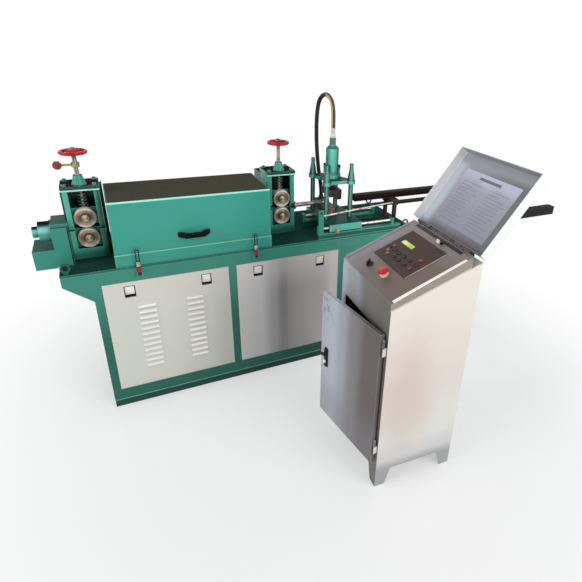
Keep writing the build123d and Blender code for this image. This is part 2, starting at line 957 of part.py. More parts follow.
def shear_cylinder():
    foot = press_plate_bottom + press_plate_thick
    flange_top = foot + barrel_flange_height
    outline = [
        (barrel_flange, foot),
        (barrel_flange, flange_top),
        (barrel_radius, flange_top + barrel_flare_height),
        (barrel_radius, barrel_top - barrel_shoulder),
        (barrel_radius - barrel_shoulder, barrel_top),
        (neck_radius, barrel_top),
        (neck_radius, neck_top),
    ]
    barrel = turned_z(press_x, press_y, outline)
    return barrel - bar_z(press_x, press_y, ram_radius + run_gap, (foot - cut_over, ram_bore_top))


def hose_fitting():
    outline = [
        (fitting_nut, neck_top),
        (fitting_nut, neck_top + fitting_nut_height),
        (fitting_sleeve, neck_top + fitting_nut_height),
        (fitting_sleeve, fitting_top),
    ]
    return turned_z(press_x, press_y, outline)


def hose():
    """Pressure hose: straight runs with the largest tangent arcs that they allow."""
    fitting = Vector(press_x, press_y, fitting_top)
    port = Vector(valve_x, valve_y, valve_port_top)
    points = [fitting + Vector(*rise) for rise in hose_rise]
    points += [port + Vector(0, 0, hose_end_run), port]
    runs = [after - before for before, after in zip(points, points[1:])]
    radii = []
    for before, after in zip(runs, runs[1:]):
        half_turn = math.radians(before.get_angle(after)) / 2
        radii.append(hose_round_share * min(before.length, after.length) / math.tan(half_turn))
    path = FilletPolyline(*points, radius=radii)
    section = Plane(points[0], z_dir=runs[0]) * Circle(hose_radius)
    return sweep(section, path)


def ram():
    """Piston rod, blade holder and the moving blade."""
    piece = bar_z(press_x, press_y, ram_radius, (holder_top, ram_top))
    y = (holder_front, holder_back)
    piece += slab(around(press_x, holder_half), y, (holder_bottom, holder_top))
    return piece + slab((blade_left, press_x + holder_half), y, (blade_bottom, holder_bottom))


def lower_die():
    return slab((die_left, die_right), (holder_front, holder_back), (carriage_top, die_top))


def valve_block():
    x = around(valve_x, valve_half)
    y = around(valve_y, valve_depth_half)
    block = slab(x, y, (0, valve_top))
    return block + bar_z(valve_x, valve_y, valve_port, (valve_top, valve_port_top))


def portal():
    """Bar portal with a heavier saddle that carries the trough."""
    x = around(portal_x, portal_leg / 2)
    saddle_x = around(portal_x, portal_saddle / 2)
    piece = slab(saddle_x, around(wire_y, portal_half), (portal_leg_top, portal_top))
    for side in (-1, 1):
        outer = wire_y + side * portal_half
        y = sorted((outer, outer - side * portal_leg))
        piece += slab(x, y, (0, portal_leg_top))
    return piece


def trough():
    """Outfeed channel, open to the front."""
    x = (trough_left, trough_right)
    y = around(wire_y, trough_width / 2)
    z = (portal_top, portal_top + trough_height)
    hollow_x = (x[0] - cut_over, x[1] + cut_over)
    hollow_y = (y[0] - cut_over, y[1] - trough_wall)
    hollow_z = (z[0] + trough_wall, z[1] - trough_wall)
    return slab(x, y, z) - slab(hollow_x, hollow_y, hollow_z)


def outfeed_rack():
    """Heavy front beam and light rear beam on a trestle, with cross bars and posts under the trough."""
    z = (-rack_beam, 0)
    front = (base_front, base_front + rack_beam)
    rear = (base_back - rear_beam_width, base_back)
    x = (rack_left, rack_right)
    rack = slab(x, front, z) + slab(x, rear, (-rear_beam_height, 0))
    for place in rack_cross_places:
        rack += slab(around(place, rack_cross / 2), (front[0], rear[1]), z)
        rack += slab(around(place, rack_post / 2), around(wire_y, rack_post / 2), (0, portal_top))
    trestle = rack_cross_places[0]
    for y in (middle(front), base_back - rack_cross / 2):
        rack += slab(around(trestle, rack_cross / 2), around(y, rack_cross / 2), (-table_height, z[0]))
        foot_z = (-table_height, rack_foot_thick - table_height)
        rack += slab(around(trestle, rack_foot / 2), around(y, rack_foot / 2), foot_z)
    return rack


# Console pieces are made square to their own front-right foot, then placed and turned as one
console_slope = math.atan2(console_back_height - console_front_height, slope_depth)
shoulder_front = console_front_height - shoulder_front_drop
shoulder_back = console_back_height - shoulder_back_drop
shoulder_slope = math.atan2(shoulder_back - shoulder_front, console_depth)
slope_run = math.cos(console_slope)
slope_rise = math.sin(console_slope)
lid_axis_x = slope_depth + lid_pin_back * slope_run - lid_seat * slope_rise
lid_axis_z = console_back_height + lid_pin_back * slope_rise + lid_seat * slope_run
door_axis_x = -door_gap - door_thick / 2
door_axis_y = door_margin - door_pin_setback
console_place = Pos(console_x, console_y, 0) * Rot(0, 0, console_yaw)
slope_place = Pos(0, 0, console_front_height) * Rot(0, -math.degrees(console_slope), 0)


def sloped_outline(low, depth, front, back, slope, inset):
    """Side outline with a sloping top, drawn in by the sheet."""
    rise = inset / math.cos(slope)
    run = math.tan(slope) * inset
    return [
        (inset, low),
        (depth - inset, low),
        (depth - inset, back - rise - run),
        (inset, front - rise + run),
    ]


def cabinet_room(inset, sides):
    """Cabinet up to its shoulder, with the narrower neck that carries the sloping panel."""
    outline = sloped_outline(0, console_depth, shoulder_front, shoulder_back, shoulder_slope, inset)
    room = plate_xz(outline, (sides, console_width - sides))
    root = shoulder_front - shoulder_front_drop
    heights = (console_front_height, console_back_height)
    outline = sloped_outline(root, slope_depth, *heights, console_slope, inset)
    return room + plate_xz(outline, (neck_inset + sides, console_width - neck_inset - sides))


def foot_cut(width):
    """Tapered gap between two sheet feet."""
    foot = foot_width
    return [
        (foot, -cut_over),
        (width - foot, -cut_over),
        (width - foot - foot_taper, console_foot),
        (foot + foot_taper, console_foot),
    ]


def console_body():
    """Folded sheet cabinet with a necked sloping top, a doorway and sheet feet."""
    body = cabinet_room(0, 0) - cabinet_room(console_sheet, console_sheet)
    floor_z = (console_foot, console_foot + console_sheet)
    floor_x = (console_sheet, console_depth - console_sheet)
    body += slab(floor_x, (console_sheet, console_width - console_sheet), floor_z)
    body -= plate_xz(foot_cut(console_depth), (-cut_over, console_width + cut_over))
    across = Plane.YZ * Polygon(*foot_cut(console_width), align=None)
    body -= Pos(-cut_over, 0, 0) * extrude(across, console_depth + cut_over * 2)
    doorway_y = (doorway_margin, console_width - doorway_margin)
    doorway_z = (door_bottom + doorway_lip, door_top - doorway_lip)
    body -= slab((-cut_over, console_sheet + cut_over), doorway_y, doorway_z)
    for z in door_hinge_places:
        span = around(z, door_knuckle_length / 2)
        body += bar_z(door_axis_x, door_axis_y, door_knuckle, span)
        body += slab((door_axis_x, 0), around(door_axis_y, door_pin), span)
        pin = (span[0], span[1] + door_knuckle_length)
        body += bar_z(door_axis_x, door_axis_y, door_pin, pin)
    pin = (lid_knuckle_places[0] - lid_knuckle_length, lid_knuckle_places[1] + lid_knuckle_length)
    body += bar_y(lid_axis_x, lid_axis_z, lid_pin, pin)
    for y in (pin[0], pin[1] - lid_bracket):
        lug_x = (slope_depth - console_sheet, lid_axis_x)
        lug_z = (console_back_height - lid_bracket, lid_axis_z)
        body += slab(lug_x, (y, y + lid_bracket), lug_z)
    return body


def console_door():
    """Folded door tray with its knuckles, standing ajar."""
    x = (-door_gap - door_thick, -door_gap)
    y = (door_margin, door_margin + door_width)
    z = (door_bottom, door_top)
    door = slab(x, y, z)
    hollow_y = (y[0] + console_sheet, y[1] - console_sheet)
    hollow_z = (z[0] + console_sheet, z[1] - console_sheet)
    door -= slab((x[0] + console_sheet, cut_over), hollow_y, hollow_z)
    for place in door_hinge_places:
        low = place + door_knuckle_length / 2 + run_gap
        span = (low, low + door_knuckle_length - run_gap * 2)
        door += bar_z(door_axis_x, door_axis_y, door_knuckle, span)
        door += slab(around(door_axis_x, door_pin), (door_axis_y, y[0] + console_sheet), span)
        hole = (span[0] - cut_over, span[1] + cut_over)
        door -= bar_z(door_axis_x, door_axis_y, door_pin + run_gap, hole)
    turn = Pos(door_axis_x, door_axis_y, 0) * Rot(0, 0, door_ajar) * Pos(-door_axis_x, -door_axis_y, 0)
    return turn * door


def console_lid():
    """Lid tray, drawn closed along the slope from its hinge and then swung open."""
    along = (lid_wall_gap, lid_pin_back + lid_length)
    y = (-lid_overlap, console_width + lid_overlap)
    tray = slab(along, y, (0, lid_depth))
    hollow_x = (along[0] + lid_sheet, along[1] - lid_sheet)
    hollow_y = (y[0] + lid_sheet, y[1] - lid_sheet)
    tray -= slab(hollow_x, hollow_y, (-cut_over, lid_depth - lid_sheet))
    for place in lid_knuckle_places:
        span = around(place, lid_knuckle_length / 2)
        tray += bar_y(0, 0, lid_knuckle, span)
        tray += slab((0, hollow_x[0]), span, (0, lid_knuckle))
        hole = (span[0] - cut_over, span[1] + cut_over)
        tray -= bar_y(0, 0, lid_pin + run_gap, hole)
    closed = Rot(0, 0, 180) * Pos(0, -console_width, 0) * tray
    swing = lid_rest_angle - math.degrees(console_slope)
    return Pos(lid_axis_x, 0, lid_axis_z) * Rot(0, swing, 0) * closed


def control_board():
    x = (board_front, board_back)
    return slope_place * slab(x, (board_right, board_left), (0, board_thick))


def panel_switches():
    """Mushroom stop button and selector knob on the slope."""
    y, x = stop_button_place
    neck = stop_button_height - stop_button_head
    button = turned_z(x, y, [
        (stop_button_stem, 0),
        (stop_button_stem, neck),
        (stop_button_radius, neck),
        (stop_button_radius, stop_button_height),
    ])
    y, x = selector_place
    knob = turned_z(x, y, [
        (selector_base, 0),
        (selector_base, selector_base_height),
        (selector_radius, selector_base_height),
        (selector_radius, selector_height),
    ])
    return slope_place * (button + knob)


left_stand, right_stand = stand_centres
on_floor = {
    "base_front_frame": side_frame(base_front, 1),
    "base_rear_frame": side_frame(base_back, -1),
    "cross_members": cross_members(),
    "table_top": table_top(),
    "front_panel_left": front_panel(bays[0], True),
    "front_panel_right": front_panel(bays[1], False),
    "plain_panels": plain_panels(),
    "console_body": console_place * console_body(),
    "console_door": console_place * console_door(),
    "console_lid": console_place * console_lid(),
    "control_board": console_place * control_board(),
    "panel_switches": console_place * panel_switches(),
}
on_table = {
    "roll_stand_left": roll_stand(left_stand),
    "roll_stand_right": roll_stand(right_stand),
    "stand_caps": joined([stand_cap(cx) for cx in stand_centres]),
    "gear_cases": joined([gear_case(cx) for cx in stand_centres]),
    "lower_bearings": joined([lower_bearing(cx) for cx in stand_centres]),
    "upper_bearing_left": upper_bearing(left_stand),
    "upper_bearing_right": upper_bearing(right_stand),
    "lower_roller_left": feed_roller(left_stand, roller_low_z),
    "lower_roller_right": feed_roller(right_stand, roller_low_z),
    "upper_roller_left": feed_roller(left_stand, roller_high_z),
    "upper_roller_right": feed_roller(right_stand, roller_high_z),
    "spring_left": spring(left_stand),
    "spring_right": spring(right_stand),
    "screw_left": screw(left_stand),
    "screw_right": screw(right_stand),
    "handwheel_left": handwheel(left_stand),
    "handwheel_right": handwheel(right_stand),
    "lock_handle": lock_handle(left_stand),
    "cover": cover(),
    "cover_ends": cover_end(cover_left, 1) + cover_end(cover_right, -1),
    "cover_handle": cover_handle(),
    "cover_hinges": cover_hinges(),
    "straightening_drum": straightening_drum(),
    "drum_bearings": drum_bearings(),
    "latch_bases": latch_bases(),
    "latch_left": latch(latch_places[0]),
    "latch_right": latch(latch_places[1]),
    "inlet_housing": inlet_housing(),
    "inlet_bush": inlet_bush(),
    "lifting_eyes": lifting_eyes(),
    "guide_tube": guide_tube(),
    "carriage_rails": carriage_rails(),
    "guide_rods": guide_rods(),
    "stop_rod": stop_rod(),
    "carriage": carriage(),
    "tie_columns": tie_columns(),
    "press_plate": press_plate(),
    "column_nuts": column_nuts(),
    "shear_cylinder": shear_cylinder(),
    "hose_fitting": hose_fitting(),
    "hose": hose(),
    "ram": ram(),
    "lower_die": lower_die(),
    "valve_block": valve_block(),
    "portal": portal(),
    "trough": trough(),
    "outfeed_rack": outfeed_rack(),
}

os.makedirs("parts", exist_ok=True)
for name, piece in on_floor.items():
    export_step(piece, f"parts/{name}.step")
for name, piece in on_table.items():
    export_step(Pos(0, 0, table_height) * piece, f"parts/{name}.step")
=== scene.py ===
import math

import bpy
from mathutils import Matrix, Vector


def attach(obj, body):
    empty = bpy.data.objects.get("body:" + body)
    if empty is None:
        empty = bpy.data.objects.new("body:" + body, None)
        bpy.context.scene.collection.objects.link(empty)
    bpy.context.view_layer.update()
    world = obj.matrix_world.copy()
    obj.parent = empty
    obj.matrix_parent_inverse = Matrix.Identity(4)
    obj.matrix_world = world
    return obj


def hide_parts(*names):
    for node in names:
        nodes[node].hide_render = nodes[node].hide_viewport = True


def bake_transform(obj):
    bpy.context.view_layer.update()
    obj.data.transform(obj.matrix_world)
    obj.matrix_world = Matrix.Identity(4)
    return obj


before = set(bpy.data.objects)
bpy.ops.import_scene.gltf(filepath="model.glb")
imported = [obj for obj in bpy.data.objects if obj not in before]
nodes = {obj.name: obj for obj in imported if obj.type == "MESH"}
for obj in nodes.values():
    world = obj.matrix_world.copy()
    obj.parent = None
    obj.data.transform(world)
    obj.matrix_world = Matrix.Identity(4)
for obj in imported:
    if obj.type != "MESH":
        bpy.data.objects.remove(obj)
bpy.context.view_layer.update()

# Camera at the photograph's own place, in front of the base's left half and above the console's open lid.
# Its lens and its small shift follow the picture's perspective.
camera_place = (-0.505, -2.459, 1.770)
camera_turn = (64.63, -2.80, -27.03)
camera_lens = 29.57
camera_shift = (-0.1045, -0.0409)
bpy.ops.object.camera_add(location=camera_place, rotation=[math.radians(angle) for angle in camera_turn])
camera = bpy.context.object
camera.data.lens = camera_lens
camera.data.shift_x, camera.data.shift_y = camera_shift
bpy.context.scene.camera = camera

# Pressure hose from the shear cylinder over to the valve block: black rubber on wire braid, handled with oily
# gloves until its cylinder end went brown. It is clamped at both ends.
hose_route = [
    (0.640, -0.038, 1.336), (0.640, -0.038, 1.390), (0.638, -0.034, 1.445), (0.634, -0.013, 1.483),
    (0.628, 0.026, 1.503), (0.621, 0.068, 1.494), (0.615, 0.100, 1.464), (0.612, 0.114, 1.422),
    (0.610, 0.119, 1.372), (0.610, 0.122, 1.312), (0.613, 0.125, 1.240), (0.620, 0.128, 1.160),
    (0.631, 0.132, 1.075), (0.646, 0.137, 1.000), (0.656, 0.140, 0.940), (0.656, 0.140, 0.905),
]
hose_radius = 0.0115
rubber_black = (34, 28, 25)
rubber_scuff = (58, 48, 42)
rubber_brown = (86, 62, 40)
rubber_highlight_tan = (200, 168, 118)
brown_end = (0.05, 0.0)
highlight_side = (-0.35, -0.65)


class Finish:
    """A socket in one material's nodes. Sums of sockets add Math nodes, and node() adds any other node."""

    def __init__(self, tree, socket=None):
        self.tree = tree
        self.socket = socket

    def node(self, kind, settings={}, sockets={}, output=0):
        made = self.tree.nodes.new("ShaderNode" + kind)
        for name, value in settings.items():
            setattr(made, name, value)
        for name, value in sockets.items():
            if isinstance(value, Finish):
                self.tree.links.new(value.socket, made.inputs[name])
            else:
                made.inputs[name].default_value = value
        return Finish(self.tree, made.outputs[output] if made.outputs else None)

    def math(self, operation, first, second=0.0):
        return self.node("Math", {"operation": operation}, {0: first, 1: second})

    def __add__(self, other):
        return self.math("ADD", self, other)

    def __sub__(self, other):
        return self.math("SUBTRACT", self, other)

    def __rsub__(self, other):
        return self.math("SUBTRACT", other, self)

    def __mul__(self, other):
        return self.math("MULTIPLY", self, other)

    __radd__ = __add__
    __rmul__ = __mul__


def new_finish(name):
    material = bpy.data.materials.new(name)
    material.use_nodes = True
    material.node_tree.nodes.clear()
    return material, Finish(material.node_tree)


def close_finish(finish, colour, rough, others):
    """Ends a material in one shader."""
    shader = finish.node("BsdfPrincipled", {}, {"Base Color": colour, "Roughness": rough, **others})
    finish.node("OutputMaterial", {}, {"Surface": shader})


def linear(colour):
    """A colour as seen, 0 to 255, in the linear values that shaders take."""
    return tuple(((part / 255 + 0.055) / 1.055) ** 2.4 for part in colour) + (1.0,)


def spot(finish, **mapping):
    """Place on the piece, moved, turned or stretched."""
    place = finish.node("TexCoord", output="Object")
    return finish.node("Mapping", {}, {"Vector": place, **mapping})


def noise(finish, scale, detail=3.0, stretch=(1, 1, 1)):
    place = spot(finish, Scale=stretch)
    return finish.node("TexNoise", {}, {"Vector": place, "Scale": scale, "Detail": detail})


def split(vector, axis):
    return vector.node("SeparateXYZ", {}, {0: vector}, output=axis)


def along(finish, axis):
    """Place on the piece along one of its axes, in metres."""
    return split(finish.node("TexCoord", output="Object"), axis)


def facing(finish, axis):
    """How far the surface faces along one of the piece's own axes."""
    return split(finish.node("TexCoord", output="Normal"), axis)


def band(value, low, high):
    return value.node("MapRange", {"interpolation_type": "SMOOTHSTEP"}, {0: value, 1: low, 2: high})


def mixed(share, first, second):
    """One colour over another by a share. A plain colour is written as seen."""
    first, second = (colour if isinstance(colour, Finish) else linear(colour) for colour in (first, second))
    return share.node("Mix", {"data_type": "RGBA"}, {0: share, 6: first, 7: second}, output=2)


def bump(height, strength, distance, **normal):
    sockets = {"Height": height, "Strength": strength, "Distance": distance, **normal}
    return height.node("Bump", {}, sockets)


def hose_rubber():
    material, finish = new_finish("hose_rubber")
    grain = noise(finish, 260.0)
    patch = noise(finish, 22.0, 4.0, (1, 1, 0.35))
    handled = band(along(finish, "Y") + 0.02 * patch, *brown_end)
    # A tan highlight is painted on one side of the brown end, by the way the surface faces.
    rubbed_and_lit = handled * band(facing(finish, "X") + 0.3 * patch, *highlight_side)
    colour = mixed(band(patch, 0.45, 0.75), rubber_black, rubber_scuff)
    colour = mixed(handled, colour, rubber_brown)
    colour = mixed(rubbed_and_lit, colour, rubber_highlight_tan)
    close_finish(finish, colour, 0.46 + 0.25 * patch, {
        "Specular IOR Level": 0.25, "Normal": bump(grain, 0.35, 0.0006),
    })
    return material


hose_curve = bpy.data.curves.new("hose_line", "CURVE")
hose_curve.dimensions = "3D"
hose_spline = hose_curve.splines.new("NURBS")
hose_spline.points.add(len(hose_route) - 1)
for point, place in zip(hose_spline.points, hose_route):
    point.co = (*place, 1.0)
hose_spline.order_u = 3
hose_spline.use_endpoint_u = True
hose = bpy.data.objects.new("pressure_hose", hose_curve)
bpy.context.collection.objects.link(hose)
bpy.context.view_layer.update()
hose_path = [vertex.co.copy() for vertex in bpy.data.meshes.new_from_object(hose).vertices]
hose_curve.bevel_depth = hose_radius
hose_curve.bevel_resolution = 5
hose_curve.use_fill_caps = True
bpy.ops.object.select_all(action="DESELECT")
hose.select_set(True)
bpy.context.view_layer.objects.active = hose
bpy.ops.object.convert(target="MESH")
bpy.ops.object.shade_smooth_by_angle(angle=math.radians(40))
hose.data.materials.clear()
hose.data.materials.append(hose_rubber())
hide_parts("hose")
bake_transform(hose)

# Welded base of the machine: front and rear frames of channel and plate with cross sills between them.
# Ground smooth and sprayed with green gloss enamel, darker towards the floor, with painted shade on the
# recessed toe, a painted highlight along its top edge and a painted shadow behind the console.
enamel_green = (60, 136, 119)
enamel_shade = (50, 122, 105)
enamel_edge_wear_and_highlight = (150, 226, 204)
enamel_chip = (40, 46, 42)
base_low_tone = (34, 94, 79)
base_toe_shade = (26, 70, 61)
base_toe_highlight = (112, 184, 162)
base_shadow = (14, 38, 32)
low_tone_span = (0.78, 0.40)
toe_shade_span = (0.049, 0.047)
toe_highlight_line = (0.0490, 0.0530)
shadow_reach = (0.02, 0.45)
shadow_height = (0.30, 0.12)


def dress(material, *names):
    for name in names:
        slots = nodes[name].data.materials
        slots.clear()
        slots.append(material)


def dot(first, second):
    return first.node("VectorMath", {"operation": "DOT_PRODUCT"}, {0: first, 1: second}, output="Value")


def between(value, low, high, soft=0.0008):
    """One inside a span of values and zero outside it."""
    return band(value, low - soft, low) * band(value, high + soft, high)


def soft_edges(finish, width):
    """Normal that rounds over the piece's edges, and a mask of where those edges are."""
    soft = finish.node("Bevel", {"samples": 6}, {"Radius": width})
    flat = finish.node("NewGeometry", output="True Normal")
    return soft, band(dot(soft, flat), 0.985, 0.80)


def paint_runs(finish):
    return noise(finish, 16.0, 3.0, (1, 1, 0.12))


def enamel(name, paint, shade, edge_width=0.0025, top_dust_and_shade=None, top_dust_and_shade_share=1.0, rough=0.36, gloss=0.30,
           edge_wear_and_highlight=0.75, placed=None):
    """Sprayed enamel: uneven coat, tones placed on the piece, pale edges both worn and painted highlight,
    and dull dust on top that is also painted shade.
    """
    material, finish = new_finish(name)
    soft, edges = soft_edges(finish, edge_width)
    cloud = noise(finish, 2.6, 4.0)
    peel = noise(finish, 700.0, 2.0)
    specks = noise(finish, 85.0, 5.0)
    colour = mixed(band(cloud, 0.30, 0.75) * 0.45, paint, shade)
    colour = mixed(band(paint_runs(finish), 0.52, 0.80) * 0.25, colour, shade)
    if placed is not None:
        colour = placed(finish, colour)
    # Pale edges, partly wear and partly painted highlight.
    worn_and_lit = edges * (0.55 + 0.45 * band(specks, 0.30, 0.60))
    colour = mixed(worn_and_lit * edge_wear_and_highlight, colour, enamel_edge_wear_and_highlight)
    chips = band(specks, 0.745, 0.775) * band(cloud, 0.45, 0.6)
    colour = mixed(chips * 0.8, colour, enamel_chip)
    normal = bump(peel + 6.0 * cloud, 0.10, 0.0015, Normal=soft)
    surface = finish.node("BsdfPrincipled", {}, {
        "Base Color": colour, "Roughness": rough + 0.16 * band(cloud, 0.35, 0.7), "Specular IOR Level": 0.10,
        "Coat Weight": gloss, "Coat Roughness": 0.16, "Normal": normal,
    })
    if top_dust_and_shade is not None:
        # Dust on faces turned up, which also stands as painted shade on the tops.
        top = band(facing(finish, "Z"), 0.55, 0.90) * (1.0 - 0.8 * edges) * top_dust_and_shade_share
        tint = mixed(band(specks, 0.35, 0.65) * 0.3, top_dust_and_shade, [part * 0.8 for part in top_dust_and_shade])
        dust_and_shade = finish.node("BsdfPrincipled", {}, {
            "Base Color": tint, "Roughness": 0.85, "Specular IOR Level": 0.0, "Normal": normal,
        })
        surface = finish.node("MixShader", {}, {0: top, 1: surface, 2: dust_and_shade})
    finish.node("OutputMaterial", {}, {"Surface": surface})
    return material


def base_places(finish, colour):
    height = along(finish, "Z")
    # Darker low down; painted shade on the toe, a painted shadow of the console, a painted highlight on the
    # toe's edge.
    colour = mixed(band(height + 0.10 * paint_runs(finish), *low_tone_span) * 0.9, colour, base_low_tone)
    colour = mixed(band(height, *toe_shade_span), colour, base_toe_shade)
    shadow = band(along(finish, "X"), *shadow_reach) * band(height, *shadow_height)
    colour = mixed(shadow * 0.55, colour, base_shadow)
    return mixed(between(height, *toe_highlight_line) * 0.8, colour, base_toe_highlight)


base_green = enamel("base_green", enamel_green, enamel_shade, placed=base_places)
dress(base_green, "base_front_frame", "base_rear_frame", "cross_members")

# Weld bead on the apron where the two lengths of plate meet, laid upright and painted over with the rest.
# The bead is a row of overlapping ripples, flattened at the back where they lie on the plate.
weld_place = (0.600, -0.245)
weld_span = (0.710, 0.764)
weld_half = 0.0045
weld_ripples = 18
ripple_shares = (1.0, 0.45, 0.8, 1.0)
ripple_back_share = 0.2


def begin(add, **sizes):
    """Starts a piece from a primitive with nothing else selected, its place kept in its mesh."""
    if bpy.context.object and bpy.context.object.mode != "OBJECT":
        bpy.ops.object.mode_set(mode="OBJECT")
    bpy.ops.object.select_all(action="DESELECT")
    add(**sizes)
    bpy.ops.object.transform_apply(location=True, rotation=True, scale=True)
    return bpy.context.object


def pick(piece, kind, wanted):
    """Selects the faces or edges whose middle and direction pass the test, and opens edit mode."""
    bpy.ops.object.mode_set(mode="EDIT")
    bpy.ops.mesh.select_mode(type=kind)
    bpy.ops.mesh.select_all(action="DESELECT")
    bpy.ops.object.mode_set(mode="OBJECT")
    if kind == "FACE":
        for face in piece.data.polygons:
            face.select = wanted(face.center, face.normal)
    else:
        points = piece.data.vertices
        for edge in piece.data.edges:
            start, end = (points[index].co for index in edge.vertices)
            edge.select = wanted((start + end) / 2, (end - start).normalized())
    bpy.ops.object.mode_set(mode="EDIT")


def resized(shares, centre):
    bpy.ops.transform.resize(value=shares, center_override=centre)


def leave(piece):
    bpy.ops.object.mode_set(mode="OBJECT")
    return piece


def at(x, y, z):
    return Matrix.Translation((x, y, z))


def set_out(model, places, spent=True):
    """Copies a small piece to each place, every copy with its own mesh, and joins the copies."""
    bpy.ops.object.select_all(action="DESELECT")
    for place in places:
        copy = model.copy()
        copy.data = model.data.copy()
        copy.data.transform(place)
        bpy.context.collection.objects.link(copy)
        copy.select_set(True)
        bpy.context.view_layer.objects.active = copy
    if len(places) > 1:
        bpy.ops.object.join()
    made = bpy.context.object
    if spent:
        bpy.data.objects.remove(model)
    return made


def fit(piece, name, material, body, place=None, angle=35):
    """Sets a finished piece in its place, names it, gives it its material, and fixes it to its body."""
    if place is not None:
        piece.data.transform(place)
    bpy.ops.object.select_all(action="DESELECT")
    piece.select_set(True)
    bpy.context.view_layer.objects.active = piece
    bpy.ops.object.transform_apply(location=True, rotation=True, scale=True)
    bpy.ops.object.shade_smooth_by_angle(angle=math.radians(angle))
    piece.name = name
    piece.data.name = name
    piece.data.materials.clear()
    piece.data.materials.append(material)
    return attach(piece, body)


ripple_step = (weld_span[1] - weld_span[0]) / weld_ripples
ripple = begin(bpy.ops.mesh.primitive_uv_sphere_add, segments=10, ring_count=6, radius=weld_half)
pick(ripple, "FACE", lambda centre, normal: centre.y > 0)
resized((1, ripple_back_share, 1), (0, 0, 0))
leave(ripple)
ripple_flat = Matrix.Diagonal(ripple_shares)
weld_steps = [weld_span[0] + ripple_step * (number + 0.5) for number in range(weld_ripples)]
weld_bead = set_out(ripple, [at(*weld_place, z) @ ripple_flat for z in weld_steps])
fit(weld_bead, "apron_weld", base_green, "base", angle=60)

# Machined table top: one thick plate welded on the base's frames and painted green with them.
# Its upper face is nearly black with gear oil and mill scale off the bars, and with painted shade.
table_green = enamel("table_green", (40, 112, 96), (22, 70, 59), top_dust_and_shade=(34, 70, 62), top_dust_and_shade_share=0.98,
                     rough=0.34)
dress(table_green, "table_top")

# Sheet steel panels of the base: two in off-white satin enamel with recessed pulls, one of them with pressed
# louvres, the other with painted bands of reflection and light across it. They sit loose in their bays; the
# plain panels match the frame.
pull_centres = (-0.486, -0.133, 0.133, 0.486)
pull_z = 0.654
pull_size = (0.046, 0.056)
pull_face = -0.245
recess_heights = (pull_z - pull_size[1] / 2, pull_z + pull_size[1] / 2)
recess_depth = (pull_face + 0.001, pull_face + 0.002)
recess_shade = (26, 24, 21)
left_panel_tones = [
    (-0.60, (204, 206, 194)), (-0.35, (209, 209, 197)), (-0.17, (204, 203, 193)), (-0.05, (191, 192, 182)),
]
right_panel_light_and_reflection_tones = [
    (0.03, (200, 200, 198)), (0.14, (198, 196, 198)), (0.22, (157, 155, 158)), (0.27, (122, 121, 124)),
    (0.292, (124, 123, 126)), (0.303, (140, 137, 138)), (0.38, (154, 150, 149)), (0.50, (164, 158, 157)),
    (0.57, (184, 177, 175)),
]
panel_light_span = (0.48, 0.70)
panel_soil_span = (0.212, 0.112)
panel_light = (212, 205, 198)
panel_warm = (214, 200, 186)
panel_soil = (150, 140, 124)
panel_edge = (240, 236, 228)
louvre_lit = (255, 253, 247)
louvre_under_shade = (140, 135, 124)


def shaded(value, stops):
    """Colour that passes through the stops as the value grows."""
    (before, colour), *others = stops
    for place, tone in others:
        colour = mixed(band(value, before, place), colour, tone)
        before = place
    return colour


def panel_enamel(name, tones):
    """Satin enamel toned across the panel and soiled at its foot, with a painted highlight on the louvres'
    lips and painted shade under them and in the recesses.
    """
    material, finish = new_finish(name)
    soft, edges = soft_edges(finish, 0.0015)
    cloud = noise(finish, 2.2, 3.0, (1, 1, 0.5))
    specks = noise(finish, 130.0, 5.0)
    peel = noise(finish, 800.0, 2.0)
    height = along(finish, "Z")
    rise = facing(finish, "Z")
    colour = shaded(along(finish, "X") + 0.02 * cloud - 0.01, tones)
    colour = mixed(band(height, *panel_light_span) * 0.4, colour, panel_light)
    colour = mixed(band(cloud, 0.45, 0.7) * 0.12, colour, panel_warm)
    down = band(height + 0.06 * cloud, *panel_soil_span)
    colour = mixed(down * band(specks, 0.35, 0.65) * 0.2, colour, panel_soil)
    marks = band(specks, 0.70, 0.76) * band(cloud, 0.42, 0.60)
    colour = mixed(marks * 0.4, colour, panel_soil)
    colour = mixed(edges * 0.35, colour, panel_edge)
    # Painted highlight on the louvres' upper lips, and painted shade under them.
    lit = band(rise, 0.12, 0.50) * (0.45 + 0.4 * band(cloud, 0.35, 0.65))
    colour = mixed(lit, colour, louvre_lit)
    colour = mixed(band(rise, -0.10, -0.45) * 0.5, colour, louvre_under_shade)
    # Painted shade in the pulls' recesses.
    recess = between(height, *recess_heights) * band(along(finish, "Y"), *recess_depth)
    colour = mixed(recess, colour, recess_shade)
    close_finish(finish, colour, 0.36 + 0.18 * cloud + 0.2 * down, {
        "Specular IOR Level": 0.25, "Coat Weight": 0.10, "Coat Roughness": 0.25,
        "Normal": bump(peel + 9.0 * cloud, 0.10, 0.0018, Normal=soft),
    })
    return material


dress(panel_enamel("left_panel_white", left_panel_tones), "front_panel_left")
dress(panel_enamel("right_panel_white", right_panel_light_and_reflection_tones), "front_panel_right")
dress(base_green, "plain_panels")

# Pull flaps: plated pressings that hang tilted in the panels' recesses, with painted shade in the slot under
# each for the fingers, and a thin folded frame round the hole, black as painted shade of the gap.
flap_inset = 0.0025
flap_height = 0.0425
flap_tilt = 6.0
flap_thick = 0.0015
flap_curl = (0, 0.006, -0.002)
frame_lip = 0.0018
frame_sink = 0.0012


